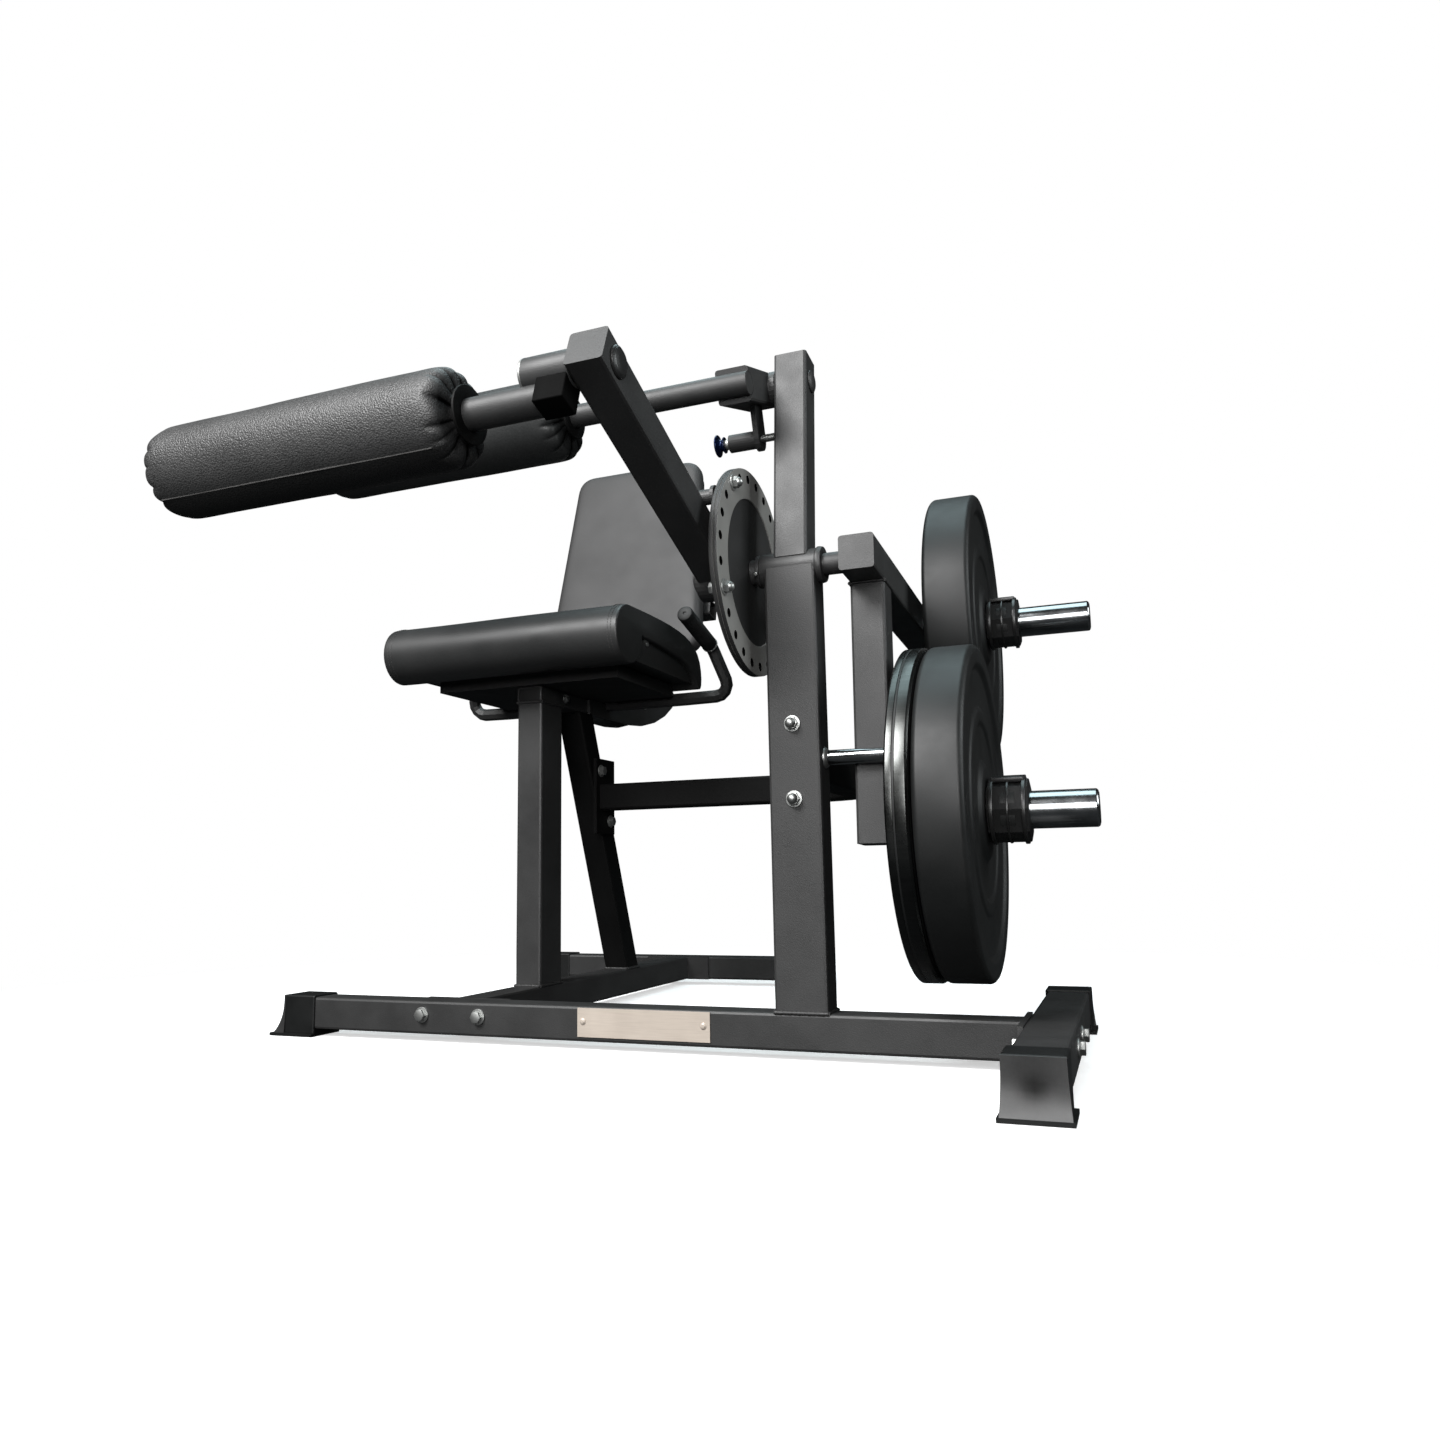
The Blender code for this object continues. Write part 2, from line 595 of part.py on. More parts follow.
def build_link():
    """Square tube that bends from the rear seat post round to the back of the upright."""
    bm = section(TUBE, TUBE, WALL, CORNER)
    start = (SEAT_X + HALF + FLANGE + GAP, LINK_Y, LINK_Z)
    bm.transform(aim(start, (1.0, 0.0, 0.0), (0.0, 1.0, 0.0)))
    x_mid = UPRIGHT_X - 0.5
    ends, _ = extrude(bm, bm.faces[:], (x_mid - LINK_BEND_R - start[0], 0.0, 0.0))
    centre = Vector((x_mid - LINK_BEND_R, LINK_Y - LINK_BEND_R, LINK_Z))
    steps = 8
    turn = Matrix.Rotation(-math.pi / 2 / steps, 3, "Z")
    for _ in range(steps):
        ends, verts = extrude(bm, ends, (0.0, 0.0, 0.0), False)
        bmesh.ops.rotate(bm, cent=centre, matrix=turn, verts=verts)
    reach = LINK_Y - LINK_BEND_R - (RAIL_BACK + FLANGE + GAP)
    extrude(bm, ends, (0.0, -reach, 0.0), False)
    holes = []
    for z in LINK_BOLT_Z:
        holes.append(rod((UPRIGHT_X - 1.0, RAIL_BACK - 5.0, z), (UPRIGHT_X - 1.0, RAIL_BACK + 12.0, z), 6.3, 16))
    back = block(x_mid - HALF, x_mid + HALF, RAIL_BACK + GAP, RAIL_BACK + FLANGE + 1.0, 325.0, 480.0)
    side = block(SEAT_X + HALF + GAP, SEAT_X + HALF + FLANGE + 1.0, LINK_Y - 38.0, LINK_Y + 38.0, 330.0, 476.0)
    heads = []
    for z in (355.0, 452.0):
        heads.append(hex_head((SEAT_X + HALF + FLANGE + 1.0, LINK_Y + REAR_POST_LEAN * (LINK_Z - z), z),
                              (1.0, 0.0, 0.0)))
    vent = rod((-300.0, LINK_Y, LINK_Z - HALF - 5.0), (-300.0, LINK_Y, LINK_Z - HALF + 8.0), 4.0, 12)
    node("upright_link_tube", "powder", [bm, back, side] + heads, cuts=holes + [vent])


def build_seat():
    """Posts, seat frame, side plates, board, pad and handles."""
    post = tube((SEAT_X, SEAT_POST_Y, TUBE_TOP + GAP), (SEAT_X, SEAT_POST_Y, SEAT_POST_TOP),
                (1.0, 0.0, 0.0), TUBE, SEAT_POST_DEPTH)
    node("front_seat_post", "powder", [post])
    low = (SEAT_X, REAR_POST_FOOT_Y, TUBE_TOP)
    high = (SEAT_X, REAR_POST_FOOT_Y - REAR_POST_LEAN * (SEAT_POST_TOP - TUBE_TOP), SEAT_POST_TOP)
    rear = tube(low, high, low=TUBE_TOP + GAP, high=SEAT_POST_TOP)
    node("rear_seat_post", "powder", [rear])
    frame_z = SEAT_POST_TOP + GAP + SEAT_FRAME_H / 2
    frame = tube((SEAT_X, SEAT_POST_Y - SEAT_POST_DEPTH / 2, frame_z),
                 (SEAT_X, HANDLE_Y - HANDLE_R - 2.0, frame_z), (1.0, 0.0, 0.0), TUBE, SEAT_FRAME_H, 2.5, 3.0)
    node("seat_frame", "powder", [frame])
    board_z = SEAT_POST_TOP + SEAT_FRAME_H + 2 * GAP
    board = block(SEAT_X - BOARD_HALF, SEAT_X + BOARD_HALF, 216.0, 452.0, board_z,
                  board_z + BOARD_T)
    node("seat_board", "wood", [board])
    pad_z = board_z + BOARD_T + GAP
    top = SEAT_ROLL_Z + SEAT_ROLL_R + 2.0
    outline = arc(SEAT_ROLL_Y, SEAT_ROLL_Z, SEAT_ROLL_R, -42.0, -270.0, 14)
    outline += [(220.0, top - 1.0), (300.0, top), (360.0, top - 1.0), (412.0, top - 7.0)]
    outline += [(448.0, top - 17.0), (470.0, top - 31.0), (484.0, top - 56.0), (486.0, 622.0)]
    outline += [(480.0, 603.0), (458.0, 603.0), (455.0, pad_z)]
    flip = Matrix(((0.0, 0.0, 1.0, SEAT_X), (1.0, 0.0, 0.0, 0.0), (0.0, 1.0, 0.0, 0.0), (0.0, 0.0, 0.0, 1.0)))
    edge = [(-SEAT_HALF, 0.972), (-SEAT_HALF + 1.0, 0.985), (-SEAT_HALF + 3.5, 0.995), (-SEAT_HALF + 9.0, 1.0)]
    stations = edge + [(0.0, 1.0)] + [(-shift, size) for shift, size in reversed(edge)]
    node("seat_pad", "vinyl", [seated_form(outline, stations, flip)],
         cuts=[block(SEAT_X - SEAT_HALF - 10.0, SEAT_X + SEAT_HALF + 10.0, 210.0, 456.0, 570.0, pad_z)])
    side = [(402.0, 560.0), (584.0, 560.0), (640.0, 565.0), (704.0, 580.0), (760.0, 602.0), (803.0, 628.0)]
    side += arc(792.0, 650.0, 22.0, -55.0, 110.0, 6)
    side += [(760.0, 663.0), (700.0, 640.0), (640.0, 612.0), (560.0, 596.0), (500.0, 588.0), (402.0, 588.0)]
    for name, x0, x1 in (("left", SEAT_X - HALF - 6.0, SEAT_X - HALF - GAP),
                         ("right", SEAT_X + HALF + GAP, SEAT_X + HALF + 6.0)):
        hole = rod((x0 - 9.0, HANDLE_Y, HANDLE_Z), (x1 + 9.0, HANDLE_Y, HANDLE_Z), HANDLE_R + GAP, 24)
        node("seat_side_plate_" + name, "powder", [plate(side, x0, x1)], cuts=[hole])
    build_handles()


def build_handles():
    """Bent handle bar under the seat with a grip on each end."""
    corners = []
    for way in (-1.0, 1.0):
        side = [(SEAT_X + way * HANDLE_REACH, 318.0, 716.0), (SEAT_X + way * HANDLE_REACH, 455.0, 678.0),
                (SEAT_X + way * (HANDLE_REACH + 26.0), HANDLE_Y + 10.0, HANDLE_Z + 3.0)]
        corners.append(side)
    left = corners[0] + [(SEAT_X - 200.0, HANDLE_Y, HANDLE_Z)]
    right = [(SEAT_X + 200.0, HANDLE_Y, HANDLE_Z)] + corners[1][::-1]
    path = rounded_path(left + right, 24.0, 4)
    tip = 9.0
    ways = []
    for first, second in ((0, 1), (-1, -2)):
        way = (path[first] - path[second]).normalized()
        ways.append(way)
    ends = [path[0].copy(), path[-1].copy()]
    path[0] = path[0] - ways[0] * tip
    path[-1] = path[-1] - ways[1] * tip
    node("handle_bar", "powder", [curve_bar("handle_bar", path, HANDLE_R)])
    for name, end, way in (("left", ends[0], ways[0]), ("right", ends[1], ways[1])):
        length = 125.0
        node("handle_grip_" + name, "rubber", [grip(end, way, length, tip)])


def grip(end, way, length, tip):
    """Rubber grip, open at its inner end and closed at its tip."""
    profile = [(0.0, 0.0), (0.0, GRIP_R - 3.0), (-3.0, GRIP_R), (-length, GRIP_R), (-length, HANDLE_R + GAP),
               (-tip + GAP, HANDLE_R + GAP), (-tip + GAP, 0.0)]
    return turned(end, way, profile, 20)


def build_back():
    """Backrest post, cross tubes, board and pad."""
    up = Vector((0.0, math.sin(BACK_LEAN), math.cos(BACK_LEAN)))
    away = Vector((0.0, math.cos(BACK_LEAN), -math.sin(BACK_LEAN)))
    foot = Vector((SEAT_X, BACK_FOOT_Y, BACK_FOOT_Z))
    depth = BACK_PAD_T + GAP + BACK_BOARD_T + GAP + BACK_POST / 2
    post = tube(foot + away * depth - up * 100.0, foot + away * depth + up * 330.0, width=TUBE - 2 * GAP,
                depth=BACK_POST, wall=2.5)
    node("back_support_post", "powder", [post])
    level = 118.0
    middle = foot + away * depth + up * level
    for name, way in (("left", -1.0), ("right", 1.0)):
        near = middle + Vector((way * (HALF + GAP), 0.0, 0.0))
        far = middle + Vector((way * 179.0, 0.0, 0.0))
        node("back_cross_tube_" + name, "powder", [tube(near, far, up, BACK_POST - 4.0, BACK_POST - 1.0, 2.5)])
    side = Matrix((Vector((1.0, 0.0, 0.0)), up, away)).transposed().to_4x4()

    def outline(inset, radius):
        low = BACK_BOTTOM_W / 2 - inset
        high = BACK_TOP_W / 2 - inset
        corners = [(-low, inset), (low, inset), (high, BACK_LENGTH - inset), (-high, BACK_LENGTH - inset)]
        points = []
        count = len(corners)
        for index in range(count):
            trio = (corners[index - 1], corners[index], corners[(index + 1) % count])
            trio = [(p[0], p[1], 0.0) for p in trio]
            for point in rounded_path(trio, radius, 6)[1:-1]:
                points.append((point.x, point.y))
        return points

    base = foot + away * (BACK_PAD_T + GAP)
    board = seated_form(outline(14.0, 30.0), [(0.0, 1.0), (BACK_BOARD_T, 1.0)], Matrix.Translation(base) @ side)
    node("backrest_board", "wood", [board])
    stations = [(0.0, 0.86), (0.9, 0.9), (3.0, 0.945), (7.0, 0.98), (13.0, 1.0), (BACK_PAD_T - 6.0, 1.0),
                (BACK_PAD_T, 0.975)]
    pad = seated_form(outline(0.0, 38.0), stations, Matrix.Translation(foot) @ side)
    node("backrest_pad", "vinyl", [pad])


SHAFT = (0.0, SHAFT_Y, SHAFT_Z)
PIVOT_Y = UPPER_FOOT_Y + UPPER_LEAN * (PIVOT_Z - UPPER_FOOT_Z)
BEAM_WAY = Vector((0.0, math.cos(BEAM_TILT), -math.sin(BEAM_TILT)))
DOWN_WAY = Vector((0.0, -math.sin(BEAM_TILT), -math.cos(BEAM_TILT)))
UPPER_HORN = frame_point(SHAFT, BEAM_WAY, UPPER_HORN_AT)
LOWER_HORN = frame_point(SHAFT, BEAM_WAY, PENDULUM_BACK, DOWN_WAY, LOWER_HORN_AT)
ARM_WAY = Vector((0.0, -math.cos(ARM_ANGLE), math.sin(ARM_ANGLE)))
ARM_UP = Vector((0.0, math.sin(ARM_ANGLE), math.cos(ARM_ANGLE)))
ARM_PIVOT = frame_point(SHAFT, ARM_WAY, ARM_PIVOT_AT)
INDEX_PIN = (0.0, SHAFT_Y - HOLE_CIRCLE_R * math.cos(INDEX_ANGLE), SHAFT_Z + HOLE_CIRCLE_R * math.sin(INDEX_ANGLE))
HOLD_PIVOT = (0.0, PIVOT_Y, PIVOT_Z)
HOLD_WAY = Vector((0.0, -math.cos(HOLD_ANGLE), -math.sin(HOLD_ANGLE)))
HOLD_DOWN = Vector((0.0, math.sin(HOLD_ANGLE), -math.cos(HOLD_ANGLE)))
HOLD_BAR = frame_point(HOLD_PIVOT, HOLD_WAY, HOLD_BAR_AT)
HOLD_PIN = frame_point(HOLD_PIVOT, HOLD_WAY, HOLD_PIN_ALONG, HOLD_DOWN, HOLD_PIN_BELOW)
ROLLER_BAR = (0.0, ARM_PIVOT[1] + BAR_DROP_Y, ARM_PIVOT[2] + BAR_DROP_Z)


def disc_point(x, degrees, radius=HOLE_CIRCLE_R):
    """Point on the hole circle, at an angle above the front."""
    angle = math.radians(degrees)
    return Vector((x, SHAFT_Y - radius * math.cos(angle), SHAFT_Z + radius * math.sin(angle)))


def build_weight_frame():
    """Shaft, collar, indexing disc, beam, pendulum and horns."""
    shaft = along_x(SHAFT_Y, SHAFT_Z, [(-112.0, 0.0), (-112.0, 21.0), (-105.3, 21.0), (-105.3, SHAFT_R),
                                       (BEAM_X - HALF - GAP, SHAFT_R), (BEAM_X - HALF - GAP, 0.0)],
                    SHAFT_FACETS)
    node("main_shaft", "powder", [shaft], SHAFT)
    collar = along_x(SHAFT_Y, SHAFT_Z, [(DISC_X1 - 1.7, SHAFT_R + GAP), (DISC_X1 - 1.7, 18.0), (-14.5, 18.0),
                                        (-14.5, 24.0), (HOUSING_X0 - 0.6, 24.0), (HOUSING_X0 - 0.6, SHAFT_R + GAP)], 24)
    screws = []
    for degrees in (112.0, -20.0):
        foot = disc_point(-11.5, degrees, 24.0)
        way = foot - Vector((-11.5, SHAFT_Y, SHAFT_Z))
        screws.append(rod(foot - way.normalized() * 2.0, foot + way.normalized() * 5.0, 2.3, 12))
    node("shaft_collar", "powder", [collar] + screws, SHAFT)
    disc = along_x(SHAFT_Y, SHAFT_Z, [(DISC_X0, SHAFT_R + GAP), (DISC_X0, DISC_R - 1.0), (DISC_X0 + 1.0, DISC_R),
                                      (DISC_X1 - 1.0, DISC_R), (DISC_X1, DISC_R - 1.0), (DISC_X1, DISC_RING_R),
                                      (DISC_X1 - 2.0, DISC_RING_R), (DISC_X1 - 2.0, SHAFT_R + GAP)], 48)
    holes = []
    for index in range(HOLES):
        degrees = 7.5 + 360.0 * index / HOLES
        holes.append(rod(disc_point(DISC_X0 - 6.0, degrees), disc_point(DISC_X1 + 6.0, degrees), HOLE_R, 8))
    whole = bmesh.new()
    for hole in holes:
        single = bpy.data.meshes.new("hole")
        hole.to_mesh(single)
        hole.free()
        whole.from_mesh(single)
        bpy.data.meshes.remove(single)
    node("indexing_disc", "powder", [disc], SHAFT, cuts=[whole])
    for name, degrees in (("upper", 52.5), ("lower", -22.5)):
        stop = acorn(disc_point(DISC_X1, degrees), (1.0, 0.0, 0.0), DISC_X1 - DISC_X0, 6.0, 8.0)
        node("disc_stop_bolt_" + name, "zinc", [stop], SHAFT)
    centre = Vector((BEAM_X, SHAFT_Y, SHAFT_Z))
    front = centre - BEAM_WAY * BEAM_FRONT
    back = centre + BEAM_WAY * BEAM_BACK
    node("weight_beam", "powder", [tube(front, back), end_cap(front, -BEAM_WAY)], SHAFT)
    hang = centre + BEAM_WAY * PENDULUM_BACK
    foot = hang + DOWN_WAY * PENDULUM_DOWN
    pendulum = tube(hang + DOWN_WAY * (HALF + GAP), foot)
    node("pendulum_tube", "powder", [pendulum, end_cap(foot, DOWN_WAY)], SHAFT)
    face = BEAM_X + HALF + GAP
    for name, spot, end in (("upper_horn", UPPER_HORN, UPPER_HORN_END), ("lower_horn", LOWER_HORN, LOWER_HORN_END)):
        horn = along_x(spot[1], spot[2], [(face, 0.0), (face, HORN_R + 4.0), (face + 4.0, HORN_R + 4.0),
                                          (face + 5.0, HORN_R), (end - 2.0, HORN_R), (end, HORN_R - 2.0),
                                          (end, 0.0)], 24)
        node(name, "chrome", [horn], SHAFT)


def bumper(spot, x0, x1):
    """Rubber weight plate with a raised rim, a dished face and a steel hub."""
    mid = PLATE_BORE_R + 34.0
    profile = [(x0, PLATE_BORE_R), (x0, mid), (x0 + 5.0, mid + 8.0), (x0 + 5.0, PLATE_R - 34.0),
               (x0, PLATE_R - 26.0), (x0, PLATE_R - 5.0), (x0 + 5.0, PLATE_R), (x1 - 5.0, PLATE_R),
               (x1, PLATE_R - 5.0), (x1, PLATE_R - 26.0), (x1 - 5.0, PLATE_R - 34.0), (x1 - 5.0, mid + 8.0),
               (x1, mid), (x1, PLATE_BORE_R)]
    return along_x(spot[1], spot[2], profile, PLATE_FACETS)


def clamp(name, spot, x0, x1, radius):
    """Octagonal plastic clamp collar with its closing lever."""
    body = rod((x0, spot[1], spot[2]), (x1, spot[1], spot[2]), radius, 8)
    lever = block(x0 + 6.0, x1 - 6.0, spot[1] - 20.0, spot[1] + 16.0, spot[2] + radius - 6.0,
                  spot[2] + radius + 5.0)
    bore = rod((x0 - 5.0, spot[1], spot[2]), (x1 + 5.0, spot[1], spot[2]), HORN_R + 0.4, 24)
    node(name, "plastic", [body, lever], spot, cuts=[bore])


def build_plates():
    """Loaded plates and their clamp collars."""
    rim = PLATE_R - THIN_RIM
    floor = rim - 6.0
    hub = PLATE_BORE_R + 34.6
    left = THIN_X0 + THIN_DISH
    right = THIN_X1 - THIN_DISH
    thin = along_x(LOWER_HORN[1], LOWER_HORN[2], [
        (THIN_X0, PLATE_BORE_R), (THIN_X0, hub), (left, hub + 6.0), (left, floor), (THIN_X0, rim),
        (THIN_X0, PLATE_R - 2.0), (THIN_X0 + 2.0, PLATE_R), (THIN_X1 - 2.0, PLATE_R), (THIN_X1, PLATE_R - 2.0),
        (THIN_X1, rim), (right, floor), (right, hub + 6.0), (THIN_X1, hub), (THIN_X1, PLATE_BORE_R)],
        PLATE_FACETS)
    node("lower_thin_plate", "steel", [thin], LOWER_HORN)
    node("lower_bumper_plate", "rubber", [bumper(LOWER_HORN, BUMPER_X0, BUMPER_X1)], LOWER_HORN)
    node("upper_bumper_plate", "rubber", [bumper(UPPER_HORN, UPPER_BUMPER_X0, UPPER_BUMPER_X1)], UPPER_HORN)
    clamp("lower_clamp_collar", LOWER_HORN, BUMPER_X1 + 0.6, BUMPER_X1 + 54.0, 42.0)
    clamp("upper_clamp_collar", UPPER_HORN, UPPER_BUMPER_X1 + 0.6, UPPER_BUMPER_X1 + 53.0, 41.0)


def build_arm():
    """Lever arm with hub and index pin, roller link and near roller."""
    left = ARM_X - HALF
    right = ARM_X + HALF
    hub = ring(SHAFT_Y, SHAFT_Z, -105.0, -42.3, HUB_R, SHAFT_R + FIT, SHAFT_FACETS, 1.5)
    centre = Vector((ARM_X, SHAFT_Y, SHAFT_Z))
    arm = tube(centre + ARM_WAY * 10.0, centre + ARM_WAY * ARM_LENGTH)
    cap = end_cap(centre + ARM_WAY * ARM_LENGTH, ARM_WAY)
    lift = math.degrees(INDEX_ANGLE)
    reach = HOLE_CIRCLE_R
    spread = math.degrees(math.acos((HUB_R - 15.0) / reach))
    flat = 180.0 - lift
    ear = arc(SHAFT_Y, SHAFT_Z, HUB_R, flat + spread, flat + 360.0 - spread, 16)
    ear += arc(INDEX_PIN[1], INDEX_PIN[2], 15.0, flat - spread, flat + spread, 10)
    ear_plate = plate(ear, -43.0, -38.0)
    house = ring(INDEX_PIN[1], INDEX_PIN[2], left + 8.0, -42.3, 11.0, PIN_R + FIT, 24)
    pivot_hole = rod((left - 20.0, ARM_PIVOT[1], ARM_PIVOT[2]), (right + 20.0, ARM_PIVOT[1], ARM_PIVOT[2]),
                     PIVOT_PIN_R + 0.2, 24)
    hub_cut = rod((left - 1.0, SHAFT_Y, SHAFT_Z), (right + 1.0, SHAFT_Y, SHAFT_Z), HUB_R + GAP,
                  SHAFT_FACETS)
    node("lever_arm", "powder", [arm, cap], SHAFT, cuts=[hub_cut, pivot_hole])
    shaft_hole = rod((-50.0, SHAFT_Y, SHAFT_Z), (-30.0, SHAFT_Y, SHAFT_Z), SHAFT_R + GAP, SHAFT_FACETS)
    pin_hole = rod((-50.0, INDEX_PIN[1], INDEX_PIN[2]), (-30.0, INDEX_PIN[1], INDEX_PIN[2]), PIN_R + 0.2, 16)
    node("lever_hub", "powder", [hub, house, ear_plate], SHAFT, cuts=[shaft_hole, pin_hole])
    pin = along_x(ARM_PIVOT[1], ARM_PIVOT[2], [
        (right + 6.0, 0.0), (right + 5.2, 11.0), (right + 2.5, 19.0), (right + GAP, 19.0),
        (right + GAP, PIVOT_PIN_R), (left - 69.3, PIVOT_PIN_R), (left - 69.3, 12.5), (left - 72.5, 12.5),
        (left - 72.5, 8.0), (left - 77.0, 7.0), (left - 77.0, 0.0)], 24)
    node("arm_pivot_pin", "zinc", [pin], ARM_PIVOT)
    tip = DISC_X0 - GAP
    pull = along_x(INDEX_PIN[1], INDEX_PIN[2], [
        (tip, 0.0), (tip, PIN_R - 1.0), (tip - 1.5, PIN_R), (left + 7.0, PIN_R), (left + 7.0, 9.0),
        (left - 2.0, 12.0), (left - 16.0, 14.0), (left - 22.0, 10.0), (left - 23.0, 0.0)], 24)
    node("arm_pull_pin", "zinc", [pull], INDEX_PIN)
    build_near_roller(left)


def build_near_roller(left):
    """Link sleeve with its welded roller bar, and the foam roller on the bar."""
    sleeve = rod((left - 69.0, ARM_PIVOT[1], ARM_PIVOT[2]), (left - GAP, ARM_PIVOT[1], ARM_PIVOT[2]),
                 LINK_SLEEVE_R, 24)
    bar = along_x(ROLLER_BAR[1], ROLLER_BAR[2], [
        (left - 9.0, 0.0), (left - 9.0, BAR_R), (NEAR_ROLLER_X1 + 13.0, BAR_R), (NEAR_ROLLER_X1 + 13.0, 35.0),
        (NEAR_ROLLER_X1 + 9.5, 35.0), (NEAR_ROLLER_X1 + 9.5, BAR_R), (NEAR_ROLLER_X0 - 9.5, BAR_R),
        (NEAR_ROLLER_X0 - 9.5, 35.0), (NEAR_ROLLER_X0 - 13.0, 35.0),
        (NEAR_ROLLER_X0 - 13.0, BAR_R - WALL), (left - 14.0, BAR_R - WALL), (left - 14.0, 0.0)],
        ROLLER_FACETS)
    bore = along_x(ARM_PIVOT[1], ARM_PIVOT[2], [(left - 90.0, 0.0), (left - 90.0, PIVOT_PIN_R + FIT),
                                                (left + 20.0, PIVOT_PIN_R + FIT), (left + 20.0, 0.0)], 24)
    node("roller_link", "powder", [sleeve, bar], ARM_PIVOT, cuts=[bore])
    node("near_roller", "vinyl", [roller(ROLLER_BAR, NEAR_ROLLER_X0, NEAR_ROLLER_X1, BAR_R, ROLLER_R, 9.0)],
         ROLLER_BAR)


def roller(spot, x0, x1, bar_r, radius, lip):
    """Foam roller whose cover is drawn in at both ends round the bar."""
    bore = bar_r + FIT
    profile = [(x0 - lip, bore), (x0 - lip, bore + 9.0), (x0, radius - 22.0), (x0 + 3.0, radius - 10.0),
               (x0 + 9.0, radius - 3.0), (x0 + 17.0, radius), (x1 - 17.0, radius), (x1 - 9.0, radius - 3.0),
               (x1 - 3.0, radius - 10.0), (x1, radius - 22.0), (x1 + lip, bore + 9.0), (x1 + lip, bore)]
    return along_x(spot[1], spot[2], profile, ROLLER_FACETS)


def build_hold_down():
    """Hold-down link with its pin, the far roller bar and the far roller."""
    centre = Vector((HOLD_X, PIVOT_Y, PIVOT_Z))
    left = HOLD_X - HALF
    right = HOLD_X + HALF
    back = centre - HOLD_WAY * HOLD_BACK
    front = centre + HOLD_WAY * HOLD_FRONT
    link = tube(back, front)
    caps = [end_cap(back, -HOLD_WAY), end_cap(front, HOLD_WAY)]
    hole = rod((left - 10.0, PIVOT_Y, PIVOT_Z), (right + 20.0, PIVOT_Y, PIVOT_Z), PIVOT_PIN_R + FIT, 24)
    spacer = rod((right - 1.0, PIVOT_Y, PIVOT_Z), (UPPER_X - HALF - GAP, PIVOT_Y, PIVOT_Z), 25.0, 24)
    base = Vector((0.0, PIVOT_Y, PIVOT_Z))
    outline = []
    for along, below in ((HOLD_PIN_ALONG + 18.0, HALF - 1.0), (HOLD_PIN_ALONG + 18.0, HOLD_PIN_BELOW)):
        point = base + HOLD_WAY * along + HOLD_DOWN * below
        outline.append((point.y, point.z))
    for step in range(1, 9):
        angle = math.pi * step / 8
        point = base + HOLD_WAY * (HOLD_PIN_ALONG + 18.0 * math.cos(angle))
        point += HOLD_DOWN * (HOLD_PIN_BELOW + 18.0 * math.sin(angle))
        outline.append((point.y, point.z))
    point = base + HOLD_WAY * (HOLD_PIN_ALONG - 18.0) + HOLD_DOWN * (HALF - 1.0)
    outline.append((point.y, point.z))
    tab = plate(outline, -17.0, -9.0)
    pin_hole = rod((-70.0, HOLD_PIN[1], HOLD_PIN[2]), (0.0, HOLD_PIN[1], HOLD_PIN[2]), PIN_R + 0.2, 16)
    house = rod((-60.0, HOLD_PIN[1], HOLD_PIN[2]), (-16.0, HOLD_PIN[1], HOLD_PIN[2]), 13.5, 24)
    saddle = rod((left - 5.0, HOLD_BAR[1], HOLD_BAR[2]), (right + 5.0, HOLD_BAR[1], HOLD_BAR[2]),
                 HOLD_BAR_R + GAP, ROLLER_FACETS)
    node("hold_down_link", "powder", [link, spacer, tab, house] + caps, HOLD_PIVOT,
         cuts=[hole, pin_hole, saddle])
    bar = along_x(HOLD_BAR[1], HOLD_BAR[2], [
        (right, 0.0), (right, HOLD_BAR_R), (FAR_ROLLER_X1 + 13.0, HOLD_BAR_R),
        (FAR_ROLLER_X1 + 13.0, 31.0), (FAR_ROLLER_X1 + 9.5, 31.0), (FAR_ROLLER_X1 + 9.5, HOLD_BAR_R),
        (FAR_ROLLER_X0 - 9.5, HOLD_BAR_R), (FAR_ROLLER_X0 - 9.5, 31.0), (FAR_ROLLER_X0 - 13.0, 31.0),
        (FAR_ROLLER_X0 - 13.0, HOLD_BAR_R - WALL), (right - 3.0, HOLD_BAR_R - WALL), (right - 3.0, 0.0)],
        ROLLER_FACETS)
    node("hold_down_bar", "powder", [bar], HOLD_PIVOT)
    node("far_roller", "vinyl", [roller(HOLD_BAR, FAR_ROLLER_X0, FAR_ROLLER_X1, HOLD_BAR_R, ROLLER_R, 9.0)],
         HOLD_BAR)
    tip = UPPER_X - HALF - GAP
    pin = along_x(HOLD_PIN[1], HOLD_PIN[2], [(tip, 0.0), (tip, PIN_R - 1.0), (tip - 1.5, PIN_R), (-60.3, PIN_R),
                                             (-60.3, 8.0), (-68.0, 8.0), (-68.0, 0.0)], 24)
    node("hold_down_pull_pin", "chrome", [pin], HOLD_PIN)
    knob = along_x(HOLD_PIN[1], HOLD_PIN[2], [(-68.3, 0.0), (-68.3, 14.0), (-71.0, 17.0), (-79.0, 17.0),
                                              (-82.0, 14.0), (-82.0, 0.0)], 24)
    node("hold_down_knob", "blue", [knob], HOLD_PIN)


build_base()
build_uprights()
build_seat()
build_back()
build_weight_frame()
build_plates()
build_arm()
build_hold_down()
bpy.context.view_layer.update()
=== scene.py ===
"""Dressed model of a plate-loaded leg extension and hamstring machine.

Sizes in the classes are millimetres in the machine's own layout: X runs to the right of someone who
faces the rollers, Y runs back towards the backrest and Z up from the floor.
"""
import json
import logging
import math
from dataclasses import dataclass, field
from enum import Enum

import bmesh
import bpy
from mathutils import Matrix, Vector

